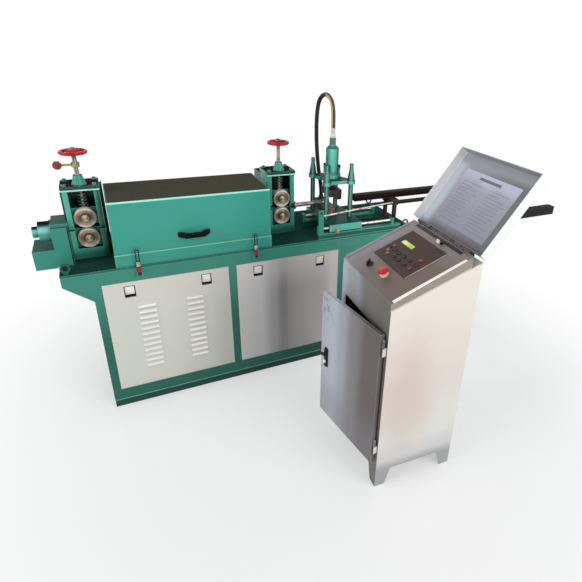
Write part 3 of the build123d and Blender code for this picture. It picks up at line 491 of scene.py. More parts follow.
def plating(name, colour, stain, rough, metallic):
    """Plated or polished steel with a faint brushed grain and finger stains."""
    material, finish = new_finish(name)
    soft = soft_edges(finish, 0.0008)[0]
    grain = noise(finish, 420.0, 3.0, (1, 1, 0.1))
    patch = noise(finish, 30.0, 4.0)
    tint = mixed(band(patch, 0.42, 0.72), colour, stain)
    close_finish(finish, tint, rough + 0.18 * patch + 0.08 * grain, {
        "Metallic": metallic, "Normal": bump(grain, 0.12, 0.0004, Normal=soft),
    })
    return material


def turned(axis, degrees):
    return Matrix.Rotation(math.radians(degrees), 4, axis)


def centred(size, middle=0.0):
    return middle - size / 2, middle + size / 2


def block(*spans):
    """Box between two places along each axis."""
    return begin(bpy.ops.mesh.primitive_cube_add, size=1, location=[sum(span) / 2 for span in spans],
                 scale=[high - low for low, high in spans])


def draw_out(x, y, z):
    bpy.ops.mesh.extrude_region_move(TRANSFORM_OT_translate={"value": (x, y, z)})


def pierced(piece, wall, axis):
    """Opens a piece right through along an axis and leaves a wall round the hole."""
    pick(piece, "FACE", lambda centre, normal: abs(getattr(normal, axis)) > 0.9)
    bpy.ops.mesh.inset(thickness=wall, use_individual=True)
    bpy.ops.mesh.bridge_edge_loops()
    return leave(piece)


def modify(piece, kind, **settings):
    """Adds one modifier and applies it."""
    bpy.context.view_layer.objects.active = piece
    modifier = piece.modifiers.new(kind.lower(), kind)
    for name, value in settings.items():
        setattr(modifier, name, value)
    bpy.ops.object.modifier_apply(modifier=modifier.name)
    return piece


def eased(piece, width, segments=2):
    """Rounds the sharp edges of a piece."""
    return modify(piece, "BEVEL", width=width, segments=segments, limit_method="ANGLE",
                  angle_limit=math.radians(35))


pull_plating = plating("pull_plating", (238, 234, 220), (214, 208, 192), 0.34, 0.1)
shade_black = plating("shade_black", (34, 32, 28), (24, 23, 21), 0.55, 0.0)
flap = block(centred(pull_size[0] - flap_inset * 2), centred(flap_thick), (-flap_height, 0))
pick(flap, "FACE", lambda centre, normal: normal.z < -0.9)
draw_out(*flap_curl)
eased(leave(flap), 0.0005)
flap_top = recess_heights[1] - flap_inset
flap_places = [at(x, pull_face + flap_inset, flap_top) @ turned("X", flap_tilt) for x in pull_centres]
fit(set_out(flap, flap_places), "pull_flaps", pull_plating, "base")
rim = block(centred(pull_size[0] + frame_lip * 2), centred(frame_lip), centred(pull_size[1] + frame_lip * 2))
eased(pierced(rim, frame_lip, "y"), 0.0008)
rim_places = [at(x, pull_face - frame_lip / 2 + frame_sink, pull_z) for x in pull_centres]
fit(set_out(rim, rim_places), "pull_frames", shade_black, "base")

# Lifting eyes: forged rings screwed into the table's corners, so that slings can carry the whole machine.
# Painted with the machine, with pale edges both rubbed and painted highlight, and dusty on top with painted
# shade.
eye_green = enamel("eye_green", (40, 104, 86), (22, 62, 52), edge_width=0.001, top_dust_and_shade=(44, 40, 32),
                   top_dust_and_shade_share=0.6, rough=0.38)
dress(eye_green, "lifting_eyes")

# Feed stands: gantry castings bolted to the table, with cap plates that carry the screw nuts, and gear cases
# behind. Filled, sprayed and glossy in front, oily and brown with dust on top that is also painted shade.
# Painted shade sits in the throats, at the feet and on the left stand's right cheek, and the left stand is
# painted lighter than the right as painted light.
stand_centres = {"left": -0.6155, "right": 0.3255}
stand_top_dust_and_shade = (28, 62, 54)
throat_half = 0.0525
throat_depth = (-0.0745, -0.055)
throat_floor = (0.829, 0.831)
throat_shade = (18, 30, 28)
stand_foot_shade_span = (0.846, 0.792)
foot_shade = (24, 66, 58)
left_stand_shade = (-0.572, -0.545)
left_stand_shade_tone = (20, 70, 60)
cap_highlight_line = (1.105, 1.1118)
cap_highlight = (158, 232, 212)
cap_over = (1.1126, 1.1272)
cap_over_dust_and_shade = (40, 58, 51)


def stand_places(side):
    def places(finish, colour):
        height = along(finish, "Z")
        off = finish.math("ABSOLUTE", along(finish, "X") - stand_centres[side])
        # Painted shade deep inside the throat, and below it at the stand's foot.
        inside = band(off, throat_half + 0.0008, throat_half) * band(along(finish, "Y"), *throat_depth)
        inside = inside * band(height, *throat_floor)
        colour = mixed(inside * 0.95, colour, throat_shade)
        return mixed(band(height, *stand_foot_shade_span) * 0.75, colour, foot_shade)
    return places


def left_stand_places(finish, colour):
    colour = stand_places("left")(finish, colour)
    # Painted shade on the left stand's right cheek.
    return mixed(band(along(finish, "X"), *left_stand_shade) * 0.9, colour, left_stand_shade_tone)


def cap_places(finish, colour):
    height = along(finish, "Z")
    front = band(facing(finish, "Y"), -0.5, -0.8)
    # A painted highlight along the cap front's lower edge; above it the front is darkened like the top, with
    # dust and painted shade.
    colour = mixed(between(height, *cap_highlight_line) * front, colour, cap_highlight)
    return mixed(between(height, *cap_over) * front * 0.9, colour, cap_over_dust_and_shade)


# The left stand is painted lighter than the right, as painted light.
left_stand_green_lit = enamel("left_stand_green_lit", (85, 188, 164), (62, 154, 133), top_dust_and_shade=stand_top_dust_and_shade,
                          placed=left_stand_places)
right_stand_green = enamel("right_stand_green", (68, 158, 137), (50, 130, 112), top_dust_and_shade=stand_top_dust_and_shade,
                           placed=stand_places("right"))
cap_green = enamel("cap_green", (66, 156, 135), (44, 124, 106), top_dust_and_shade=(52, 43, 39), placed=cap_places)
# The gear cases are painted a darker green than the stands, as painted shade.
case_green_shaded = enamel("case_green_shaded", (34, 84, 72), (24, 62, 53), top_dust_and_shade=(42, 46, 40), edge_wear_and_highlight=0.15)
dress(left_stand_green_lit, "roll_stand_left")
dress(right_stand_green, "roll_stand_right")
dress(cap_green, "stand_caps")
dress(case_green_shaded, "gear_cases")

# Dark plate behind the left gear case: a folded steel sheet in the case's dark green, set there as painted
# shade. It stands on the case's back and covers most of the gap beside the cover.
plate_span = (-0.548, -0.528)
plate_face = 0.172
plate_sheet = 0.003
plate_fold = 0.030
plate_heights = (0.782, 1.075)
shade_plate = block(plate_span, (plate_face, plate_face + plate_sheet), plate_heights)
pick(shade_plate, "FACE", lambda centre, normal: normal.y > 0.9)
bpy.ops.mesh.subdivide(number_cuts=5)
leave(shade_plate)
pick(shade_plate, "FACE", lambda centre, normal: normal.y > 0.9 and centre.x > plate_span[1] - plate_sheet * 1.2)
draw_out(0, plate_fold, 0)
eased(leave(shade_plate), 0.0006)
fit(shade_plate, "case_shade_plate", case_green_shaded, "base")

# Dark strip up the left stand above the inlet: a steel flat with its outer edges rounded over, blacked, set
# there as painted shade in the joint between the stand and the inlet.
shadow_strip_span = (-0.6965, -0.6885)
shadow_strip_depth = (-0.0745, -0.0645)
shadow_strip_heights = (0.9765, 1.1045)
shadow_strip_round = 0.003
shadow_strip = block(shadow_strip_span, shadow_strip_depth, shadow_strip_heights)
pick(shadow_strip, "EDGE", lambda middle, line: abs(line.z) > 0.9 and middle.x < shadow_strip_span[0] + 0.001)
bpy.ops.mesh.bevel(offset=shadow_strip_round, segments=3)
eased(leave(shadow_strip), 0.0006)
fit(shadow_strip, "stand_shadow_strip", shade_black, "base")

# Hexagon bolts of the stands' caps and gear cases: forged heads on turned washers, painted in.
# The same bolt is set out further on as wheel nuts, as cylinder bolts at a smaller size, and as valve plugs.
bolt_across = 0.0095
bolt_head_height = 0.007
washer_radius = 0.0115
washer_thick = 0.002
cap_top = 1.127
cap_bolt_reach = 0.061
cap_bolt_rows = (-0.062, 0.034)
cap_bolt_turn = 20
case_back = 0.172
case_bolt_columns = (-0.055, 0.055)
case_bolt_heights = (0.82, 0.95, 1.06)


def disc(sides, radius, span):
    """Cylinder or prism round the Z axis between two heights."""
    return begin(bpy.ops.mesh.primitive_cylinder_add, vertices=sides, radius=radius, depth=span[1] - span[0],
                 location=(0, 0, sum(span) / 2))


def upward(centre, normal):
    return normal.z > 0.9


def stepped(piece, *steps):
    """Insets the top of a piece and then raises or sinks it, once for each inset and rise."""
    pick(piece, "FACE", upward)
    for inset, rise in steps:
        bpy.ops.mesh.inset(thickness=inset)
        if rise:
            draw_out(0, 0, rise)
    return leave(piece)


def joined(*pieces):
    bpy.ops.object.select_all(action="DESELECT")
    for piece in pieces:
        piece.select_set(True)
    bpy.context.view_layer.objects.active = pieces[0]
    bpy.ops.object.join()
    return pieces[0]


bolt_head = disc(6, bolt_across, (washer_thick, washer_thick + bolt_head_height))
stepped(bolt_head, (bolt_across * 0.2, bolt_head_height * 0.15), (bolt_across * 0.15, 0))
bolt_washer = eased(disc(20, washer_radius, (0, washer_thick)), washer_thick * 0.4)
bolt = joined(bolt_head, bolt_washer)
cap_bolts = [at(cx + side * cap_bolt_reach, y, cap_top) @ turned("Z", cap_bolt_turn * side)
             for cx in stand_centres.values() for side in (-1, 1) for y in cap_bolt_rows]
case_bolts = [at(cx + dx, case_back, z) @ turned("X", -90)
              for cx in stand_centres.values() for dx in case_bolt_columns for z in case_bolt_heights]
fit(set_out(bolt, cap_bolts, spent=False), "cap_bolts", cap_green, "base")
fit(set_out(bolt, case_bolts, spent=False), "gear_case_bolts", case_green_shaded, "base")

# Bearing blocks of the feed rollers: steel, shaped and painted. The upper ones slide in the stands' throats.
# Oil from the rollers leaves them darker than the stands round them.
bearing_green = enamel("bearing_green", (66, 146, 127), (40, 106, 91), top_dust_and_shade=(26, 44, 38),
                       top_dust_and_shade_share=0.9)
dress(bearing_green, "lower_bearings", "upper_bearing_left", "upper_bearing_right")

# Grooved feed rollers in hardened steel, turned all over: bright rims with rings left by the lathe tool,
# brown towards the hub where oil and dust bake on, the tones by radius partly painted reflection, with a
# painted fan of shade. A bolt and washer hold each on its shaft.
roller_tones_and_reflection = [
    (0.0155, (200, 180, 150)), (0.0172, (92, 74, 58)), (0.0215, (96, 78, 62)), (0.0240, (166, 146, 124)),
    (0.0340, (172, 154, 134)), (0.0372, (214, 202, 188)),
]
roller_shade = (78, 62, 50)
roller_brown = (92, 74, 58)
roller_rim = (226, 216, 202)
lathe_rings = 2400.0
near_zero = 0.000001
roller_heights = {"lower": 0.8835, "upper": 0.9805}
roller_nose = -0.091
hub_washer_radius = 0.014
hub_washer_thick = 0.003
hub_across = 0.0095
hub_top = 0.009
hub_turn = 17


def length(vector):
    return vector.node("VectorMath", {"operation": "LENGTH"}, {0: vector}, output="Value")


def turned_steel(name, centre_x, centre_z):
    """Lathe-turned steel: rings round the roller's axis, toned by radius partly as painted reflection,
    with a painted fan of shade.
    """
    material, finish = new_finish(name)
    soft, edges = soft_edges(finish, 0.0012)
    place = spot(finish, Location=(-centre_x, 0, -centre_z))
    flat = finish.node("VectorMath", {"operation": "MULTIPLY"}, {0: place, 1: (1, 0, 1)})
    radius = length(flat)
    rings = finish.math("SINE", radius * lathe_rings)
    patch = noise(finish, 55.0, 4.0)
    over = split(flat, "X")
    up = split(flat, "Z")
    shade_fan = finish.math("DIVIDE", up * up - over * over - 0.6 * over * up, radius * radius + near_zero)
    colour = shaded(radius, roller_tones_and_reflection)
    # A painted fan of shade, by angle round the axis.
    colour = mixed(band(shade_fan, 0.55, -0.75) * 0.62, colour, roller_shade)
    colour = mixed(band(patch, 0.50, 0.75) * 0.45, colour, roller_brown)
    colour = mixed(edges * 0.35, colour, roller_rim)
    close_finish(finish, colour, 0.32 + 0.25 * patch, {
        "Metallic": 0.55, "Normal": bump(rings + 2.0 * patch, 0.45, 0.0004, Normal=soft),
    })
    return material


hub_washer = eased(disc(28, hub_washer_radius, (0, hub_washer_thick)), 0.0008)
hub_hexagon = stepped(disc(6, hub_across, (hub_washer_thick, hub_top)), (0.0015, 0.0008))
hub_bolt = joined(hub_washer, hub_hexagon)
for side, cx in stand_centres.items():
    for level, z in roller_heights.items():
        steel = turned_steel(f"{level}_{side}_roller_steel", cx, z)
        dress(steel, f"{level}_roller_{side}")
        nose_place = at(cx, roller_nose, z) @ turned("X", 90) @ turned("Z", hub_turn)
        nose = set_out(hub_bolt, [nose_place], spent=False)
        fit(nose, f"{level}_{side}_hub_bolt", steel, f"roller_{level}_{side}")
bpy.data.objects.remove(hub_bolt)

# Pressure springs round the screws: coiled steel wire, dark with oil and greenish with stray paint.
# Each stands on its bearing block below the cap.
spring_radius = 0.017
spring_wire = 0.0034
spring_turns = 5
spring_span = (1.0242, 1.1013)
screw_y = -0.036


def coil(radius, wire, sides, low, pitch, turns, steps):
    """Wire of a few sides wound round the Z axis."""
    piece = begin(bpy.ops.mesh.primitive_circle_add, vertices=sides, radius=wire, fill_type="NOTHING",
                  location=(radius, 0, low), rotation=(math.radians(90), 0, 0))
    modify(piece, "SCREW", axis="Z", screw_offset=pitch, iterations=turns, steps=steps, render_steps=steps,
           use_merge_vertices=False)
    bpy.ops.object.mode_set(mode="EDIT")
    bpy.ops.mesh.select_all(action="SELECT")
    bpy.ops.mesh.fill_holes(sides=0)
    bpy.ops.mesh.normals_make_consistent(inside=False)
    return leave(piece)


spring_steel = plating("spring_steel", (92, 118, 104), (34, 50, 44), 0.36, 0.35)
spring_foot, spring_top = spring_span
spring_pitch = (spring_top - spring_foot) / spring_turns
for side, cx in stand_centres.items():
    spring = coil(spring_radius, spring_wire, 10, spring_foot, spring_pitch, spring_turns, 28)
    spring.data.transform(at(cx, screw_y, 0))
    spring.name = f"pressure_spring_{side}"
    spring.data.materials.append(spring_steel)
    bpy.ops.object.shade_smooth_by_angle(angle=math.radians(50))
    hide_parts(f"spring_{side}")
    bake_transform(spring)

# Adjusting screws: bright steel stems that lift the upper bearing blocks, dull with grease.
# A coarse thread runs all along each, through the nut in the cap.
stem_radius = 0.0100
thread_depth = 0.0012
thread_pitch = 0.0035
stem_span = (1.0208, 1.259)
stem_steel = plating("stem_steel", (150, 150, 134), (92, 92, 80), 0.32, 0.85)
core_radius = stem_radius - thread_depth
thread_foot = stem_span[0] + thread_pitch / 2
thread_turns = int((stem_span[1] - stem_span[0]) / thread_pitch) - 1
for side, cx in stand_centres.items():
    thread = coil(core_radius, thread_depth, 3, thread_foot, thread_pitch, thread_turns, 18)
    stem = joined(thread, eased(disc(20, core_radius, stem_span), 0.0006))
    fit(stem, f"threaded_stem_{side}", stem_steel, f"screw_{side}", at(cx, screw_y, 0))
    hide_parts(f"screw_{side}")

# Handwheels: cast rims with four spokes, dipped in red enamel.
# Each is held on its stem's end by a small bright nut.
wheel_top = 1.281
wheel_nut_turn = 10
red_worn = (226, 104, 108)
red_chip = (70, 24, 26)


def red_enamel(name, colour, shade):
    """Dipped red enamel, cloudy, with pale worn edges and dark chips."""
    material, finish = new_finish(name)
    soft, edges = soft_edges(finish, 0.001)
    cloud = noise(finish, 26.0, 4.0)
    specks = noise(finish, 180.0, 4.0)
    tint = mixed(band(cloud, 0.35, 0.7), colour, shade)
    tint = mixed(edges * band(specks, 0.4, 0.6) * 0.2, tint, red_worn)
    tint = mixed(band(specks, 0.70, 0.74) * 0.7, tint, red_chip)
    close_finish(finish, tint, 0.42 + 0.2 * cloud, {
        "Specular IOR Level": 0.2, "Coat Weight": 0.08, "Coat Roughness": 0.3,
        "Normal": bump(specks + 4.0 * cloud, 0.10, 0.0005, Normal=soft),
    })
    return material


dress(red_enamel("wheel_red", (196, 36, 48), (140, 22, 34)), "handwheel_left", "handwheel_right")
for side, cx in stand_centres.items():
    wheel_nut = set_out(bolt, [at(cx, screw_y, wheel_top) @ turned("Z", wheel_nut_turn)], spent=False)
    fit(wheel_nut, f"handwheel_nut_{side}", stem_steel, f"screw_{side}")

# Lock handle on the left stem: a split collar and rod in greenish brass that clamp the screw.
# Its knob is an eight-sided casting in dull red enamel, pressed on the rod's end.
knob_centre = (-0.6855, -0.036, 1.215)
knob_radius = 0.0188
knob_thick = 0.0150
knob_rim = 0.004
knob_boss = 0.0025
knob_boss_reach = 0.009
knob_ease = 0.0014
brass_bright = (226, 206, 150)


def worn_brass(name, colour, patina):
    """Bare metal under a patchy skin of oxide or oil, rubbed bright at its edges."""
    material, finish = new_finish(name)
    soft, edges = soft_edges(finish, 0.0008)
    patch = noise(finish, 60.0, 4.0)
    tint = mixed(band(patch, 0.36, 0.66), colour, patina)
    tint = mixed(edges * 0.6, tint, brass_bright)
    close_finish(finish, tint, 0.34 + 0.25 * patch, {
        "Metallic": 0.7, "Normal": bump(patch, 0.25, 0.0008, Normal=soft),
    })
    return material


dress(worn_brass("lock_brass", (166, 158, 112), (104, 118, 82)), "lock_handle")
knob = disc(8, knob_radius, centred(knob_thick))
pick(knob, "FACE", lambda centre, normal: abs(normal.z) > 0.9)
bpy.ops.mesh.inset(thickness=knob_rim, use_individual=True)
leave(knob)
pick(knob, "FACE", lambda centre, normal: normal.z > 0.9 and centre.length < knob_boss_reach)
draw_out(0, 0, knob_boss)
eased(leave(knob), knob_ease)
knob_red = red_enamel("knob_red", (146, 66, 62), (104, 44, 42))
knob_place = at(*knob_centre) @ turned("X", 90) @ turned("Z", 22.5)
fit(knob, "lock_knob", knob_red, "screw_left", knob_place)

# Straightener cover: a folded sheet hood over the drum with a doubled band along its foot. Glossy green on
# its sides, with painted highlights along the band's top edge and the crest, and an even coat of brown dust
# and oil burnt on its top, darkened further as painted shade.
cover_low = (0.97, 0.82)
cover_low_green = (54, 143, 125)
cover_band_highlight_line = (0.8365, 0.8412)
cover_band_highlight = (132, 216, 196)
cover_crest_highlight_span = (1.0785, 1.0805)
cover_crest_highlight = (172, 240, 222)


def cover_places(finish, colour):
    height = along(finish, "Z")
    front = band(facing(finish, "Y"), -0.2, -0.5)
    colour = mixed(band(height, *cover_low) * 0.6, colour, cover_low_green)
    # Painted highlights along the band's top edge and the crest.
    colour = mixed(between(height, *cover_band_highlight_line) * front * 0.7, colour, cover_band_highlight)
    return mixed(band(height, *cover_crest_highlight_span) * front, colour, cover_crest_highlight)


cover_green = enamel("cover_green", (60, 158, 140), (54, 145, 127), edge_width=0.003, top_dust_and_shade=(78, 77, 64),
                     rough=0.34, edge_wear_and_highlight=0.5, placed=cover_places)
dress(cover_green, "cover", "cover_ends")
dress(cap_green, "cover_hinges")


# Cover handle: a moulded black plastic bow, screwed on from inside the hood.
# Hands have polished it along its grip.
def moulded(name, colour, polish, rough, shine=0.25):
    """Moulded plastic or rubber with a fine grain and polished patches."""
    material, finish = new_finish(name)
    soft = soft_edges(finish, 0.002)[0]
    grain = noise(finish, 900.0, 2.0)
    patch = noise(finish, 40.0, 3.0)
    tint = mixed(band(patch, 0.40, 0.70), colour, polish)
    close_finish(finish, tint, rough + 0.2 * patch, {
        "Specular IOR Level": shine, "Normal": bump(grain, 0.15, 0.0004, Normal=soft),
    })
    return material


dress(moulded("handle_black", (10, 10, 11), (24, 20, 21), 0.34, 0.08), "cover_handle")

# Straightening drum in its plummer blocks, seen when the cover is up: dark oily steel with worn dies.
# The blocks stand on the table and are painted like the feed rollers' bearings.
dress(worn_brass("drum_steel", (96, 94, 90), (44, 42, 40)), "straightening_drum")
dress(bearing_green, "drum_bearings")

# Toggle latches on the apron: painted bases, dark bodies with wire loops before the cover's keepers, plated
# shells round the bodies, and red dipped grips at their feet.
latch_places = {"left": -0.432, "right": 0.123}
latch_axis = -0.258
grip_size = (0.0195, 0.0125)
grip_span = (0.7505, 0.778)
grip_foot_share = 0.86
shell_size = (0.0185, 0.0115)
shell_span = (0.780, 0.8045)
shell_foot_share = 0.95


def sleeve(size, span, foot_share):
    """Block round the latch's body, rounded over and drawn in at its foot."""
    piece = block(centred(size[0]), centred(size[1]), span)
    pick(piece, "FACE", lambda centre, normal: normal.z < -0.9)
    resized((foot_share, foot_share, 1), (0, 0, span[0]))
    return eased(leave(piece), 0.003, 3)


latch_dark = worn_brass("latch_dark", (58, 56, 54), (26, 26, 26))
latch_plate = plating("latch_plating", (190, 190, 187), (92, 90, 88), 0.26, 0.8)
grip_red = red_enamel("grip_red", (150, 50, 58), (98, 34, 40))
dress(base_green, "latch_bases")
for side, x in latch_places.items():
    body = f"latch_{side}"
    dress(latch_dark, body)
    grip = sleeve(grip_size, grip_span, grip_foot_share)
    fit(grip, f"latch_grip_{side}", grip_red, body, at(x, latch_axis, 0))
    shell = sleeve(shell_size, shell_span, shell_foot_share)
    fit(shell, f"latch_shell_{side}", latch_plate, body, at(x, latch_axis, 0))

# Inlet: a fabricated housing and box bracket on the left stand, with a stepped bush that the bar enters and a
# turned ring round it. The bush and the bracket's top are dark with bar scale and painted shade; the bush has
# a painted highlight and painted shade round it, and the housing painted shade at its joint with the stand.
inlet_joint_shade_span = (-0.6970, -0.6945)
inlet_joint_top = (0.968, 0.960)
inlet_joint_shade = (14, 28, 26)
bush_highlight_direction = (0.0, -0.88, 0.47)
bush_painted_highlight = (142, 214, 206)
bush_painted_shade = (24, 62, 56)
inlet_face = -0.757
bush_axis = (-0.068, 0.932)
bush_ring_radius = 0.0485
bush_ring_thick = 0.006
bush_ring_wall = 0.003


def lean(finish, direction):
    """How far the surface faces along a direction on the piece."""
    return dot(finish.node("TexCoord", output="Normal"), direction)


def inlet_places(finish, colour):
    # Painted shade at the housing's joint with the stand.
    joint = band(along(finish, "X"), *inlet_joint_shade_span) * band(along(finish, "Z"), *inlet_joint_top)
    return mixed(joint * 0.95, colour, inlet_joint_shade)


def bush_places(finish, colour):
    # Painted highlight and painted shade on the bush, by the way its surface faces.
    shine = lean(finish, bush_highlight_direction)
    colour = mixed(band(shine, 0.88, 1.0) * 0.7, colour, bush_painted_highlight)
    return mixed(band(shine, 0.30, -0.20) * 0.8, colour, bush_painted_shade)


inlet_green = enamel("inlet_green", (58, 142, 126), (46, 122, 106), top_dust_and_shade=(30, 66, 57), top_dust_and_shade_share=0.8,
                     placed=inlet_places)
bush_green = enamel("bush_green", (70, 158, 142), (50, 128, 112), top_dust_and_shade=(18, 40, 36), rough=0.24, gloss=0.8,
                    placed=bush_places)
dress(inlet_green, "inlet_housing")
dress(bush_green, "inlet_bush")
bush_ring = pierced(disc(48, bush_ring_radius, (0, bush_ring_thick)), bush_ring_wall, "z")
eased(bush_ring, 0.0015)
bush_ring_place = at(inlet_face, *bush_axis) @ turned("Y", -90)
fit(bush_ring, "inlet_bush_ring", bush_green, "base", bush_ring_place)

# Carriage guides: painted rails on the table with bright ground rods and the stop post. The stop rod runs on
# to the portal, and a bare steel tube leads the bar from the right stand to the press.
rail_shade_span = (0.7850, 0.8010)
rail_shade = (24, 60, 52)


def rail_places(finish, colour):
    # A band of painted shade low on the rails' faces.
    return mixed(between(along(finish, "Z"), *rail_shade_span, soft=0.004) * 0.8, colour, rail_shade)


rail_green = enamel("rail_green", (58, 150, 128), (30, 100, 84), top_dust_and_shade=(38, 104, 88), top_dust_and_shade_share=0.5,
                    placed=rail_places)
dress(rail_green, "carriage_rails")
dress(plating("rod_steel", (214, 206, 196), (140, 128, 116), 0.22, 0.9), "guide_rods", "stop_rod")
dress(worn_brass("tube_steel", (150, 146, 140), (92, 84, 76)), "guide_tube")

# Shear press: a sliding bed with tie columns, a waisted head plate and a hydraulic cylinder on it, stiffened
# by curved gussets. All painted on assembly; long tapered nuts hold the head plate down.
press_axis = (0.640, -0.038)
press_highlight_direction = (-0.43, -0.90, 0.0)
press_painted_highlight = (128, 224, 204)
press_painted_shade = (20, 72, 64)
press_top_dust_and_shade = (28, 76, 64)
neck_span = (1.240, 1.250)
neck_grey = (74, 108, 99)
gusset_reach = (0.0358, 0.0498)
gusset_thick = 0.006
gusset_heights = (1.083, 1.138)
gusset_bevel = 0.01372
gusset_angles = (45, 135, 225, 315)
flange_top = 1.083
flange_bolt_radius = 0.0425
flange_bolt_share = 0.6
flange_bolt_angles = (0, 90, 180, 270)


def press_places(finish, colour):
    # Painted highlight and painted shade on the round faces, by the way they face; the neck is grey metal.
    shine = lean(finish, press_highlight_direction)
    colour = mixed(band(shine, 0.90, 1.0) * 0.55, colour, press_painted_highlight)
    colour = mixed(band(shine, 0.93, 0.55) * 0.85, colour, press_painted_shade)
    return mixed(band(along(finish, "Z"), *neck_span) * 0.9, colour, neck_grey)


press_green = enamel("press_green", (82, 188, 166), (48, 138, 119), top_dust_and_shade=press_top_dust_and_shade, top_dust_and_shade_share=0.8,
                     rough=0.26, gloss=0.8, placed=press_places)
column_green = enamel("column_green", (42, 106, 94), (26, 78, 66), top_dust_and_shade=press_top_dust_and_shade, rough=0.26,
                      gloss=0.8, placed=press_places)
dress(press_green, "carriage", "press_plate", "shear_cylinder")
dress(column_green, "tie_columns", "column_nuts")
gusset = block(gusset_reach, centred(gusset_thick), gusset_heights)
pick(gusset, "EDGE", lambda middle, line: abs(line.y) > 0.9 and middle.z > sum(gusset_heights) / 2)
bpy.ops.mesh.bevel(offset=gusset_bevel, segments=6, profile=0.12, clamp_overlap=False)
eased(leave(gusset), 0.0008)
gussets = set_out(gusset, [at(*press_axis, 0) @ turned("Z", angle) for angle in gusset_angles])
fit(gussets, "cylinder_gussets", press_green, "shear_carriage")
flange_bolt = at(flange_bolt_radius, 0, 0) @ Matrix.Scale(flange_bolt_share, 4)
flange_bolt_places = [at(*press_axis, flange_top) @ turned("Z", angle) @ flange_bolt
                      for angle in flange_bolt_angles]
flange_bolts = set_out(bolt, flange_bolt_places, spent=False)
fit(flange_bolts, "cylinder_bolts", press_green, "shear_carriage")

# Hose fitting on the cylinder: a hexagon swivel nut, and a sleeve crimped on the hose in three grip rings.
# Both are turned steel, zinc plated.
fitting_foot = 1.282
fitting_nut_radius = 0.015
fitting_nut_height = 0.018
crimp_radius = 0.0125
crimp_grooves = (0.0112, 0.0114, 0.0114)
groove_width = 0.003
groove_slope = 0.001
crimp_width = 0.006


def drawn_up(sides, foot, steps):
    """Turned piece whose top is drawn up and resized, once for each radius and rise."""
    (radius, rise), *others = steps
    height = foot + rise
    piece = disc(sides, radius, (foot, height))
    pick(piece, "FACE", upward)
    for next_radius, rise in others:
        height = height + rise
        draw_out(0, 0, rise)
        resized((next_radius / radius, next_radius / radius, 1), (0, 0, height))
        radius = next_radius
    return leave(piece)


fitting_steps = [(crimp_radius, groove_width)]
for groove in crimp_grooves:
    fitting_steps += [(groove, groove_slope), (groove, groove_width)]
    fitting_steps += [(crimp_radius, groove_slope), (crimp_radius, crimp_width)]
sleeve_foot = fitting_foot + fitting_nut_height
swivel_nut = eased(disc(6, fitting_nut_radius, (fitting_foot, sleeve_foot)), 0.0012)
fitting = joined(swivel_nut, drawn_up(28, sleeve_foot, fitting_steps))
fitting_zinc = plating("fitting_zinc", (214, 210, 200), (150, 142, 126), 0.26, 0.85)
fit(fitting, "crimped_fitting", fitting_zinc, "shear_carriage", at(*press_axis, 0))
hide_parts("hose_fitting")

# Ram and dies: a steel piston rod with a black blade holder, over a lower die of tan tool steel.
# The cylinder above drives the ram, and the die stays on the sliding bed.
dress(worn_brass("holder_black", (62, 54, 46), (28, 24, 22)), "ram")
dress(worn_brass("die_tan", (150, 128, 104), (104, 84, 66)), "lower_die")

# Clamp nut on the carriage's front: a round copper-coloured nut with a washer behind it.
# It is tightened on a stud, whose end stands out of it.
clamp_place = (0.583, -0.245, 0.822)
clamp_washer_radius = 0.0125
clamp_washer_thick = 0.003
clamp_nut_step = (0.0025, 0.009)
clamp_stud_step = (0.0045, 0.004)
clamp_copper = worn_brass("clamp_copper", (206, 150, 132), (140, 92, 78))
clamp = stepped(disc(28, clamp_washer_radius, (0, clamp_washer_thick)), clamp_nut_step, clamp_stud_step)
eased(clamp, 0.0007)
fit(clamp, "carriage_clamp_nut", clamp_copper, "shear_carriage", at(*clamp_place) @ turned("X", 90))

# Valve block behind the press: a steel manifold, painted dark green, that takes the hose's lower end.
# Zinc plated plugs close its side.
valve_plug_place = (0.616, 0.140)
valve_plug_heights = (0.815, 0.850)
valve_green = enamel("valve_green", (40, 92, 80), (24, 58, 50), top_dust_and_shade=(28, 36, 32), top_dust_and_shade_share=0.8)
dress(valve_green, "valve_block")
valve_plugs = set_out(bolt, [at(*valve_plug_place, z) @ turned("Y", -90) for z in valve_plug_heights])
fit(valve_plugs, "valve_plugs", fitting_zinc, "base")

# Outfeed: a rolled channel carried on a portal, with a rack beyond it, all of rough steel.
# It was never painted, and it is brown with mill scale and rust.
rust_edge = (146, 118, 96)


def scale_rust(name, dark, brown, bright):
    """Mill scale and rust, drawn out along the bar, pitted and rubbed at the edges."""
    material, finish = new_finish(name)
    soft, edges = soft_edges(finish, 0.002)
    cloud = noise(finish, 9.0, 5.0, (0.25, 1, 1))
    specks = noise(finish, 90.0, 6.0)
    pits = noise(finish, 320.0, 4.0)
    tint = mixed(band(cloud, 0.34, 0.66), dark, brown)
    tint = mixed(band(specks, 0.52, 0.70) * 0.6, tint, bright)
    tint = mixed(edges * band(specks, 0.35, 0.6) * 0.5, tint, rust_edge)
    close_finish(finish, tint, 0.66 + 0.25 * specks, {
        "Specular IOR Level": 0.15, "Normal": bump(specks + 0.6 * pits, 0.45, 0.0012, Normal=soft),
    })
    return material


dress(scale_rust("trough_rust", (30, 20, 17), (54, 36, 29), (78, 56, 44)), "trough")
dress(scale_rust("portal_rust", (40, 32, 27), (66, 52, 42), (98, 80, 64)), "portal")
dress(scale_rust("rack_dark", (30, 32, 30), (46, 42, 38), (70, 62, 54)), "outfeed_rack")

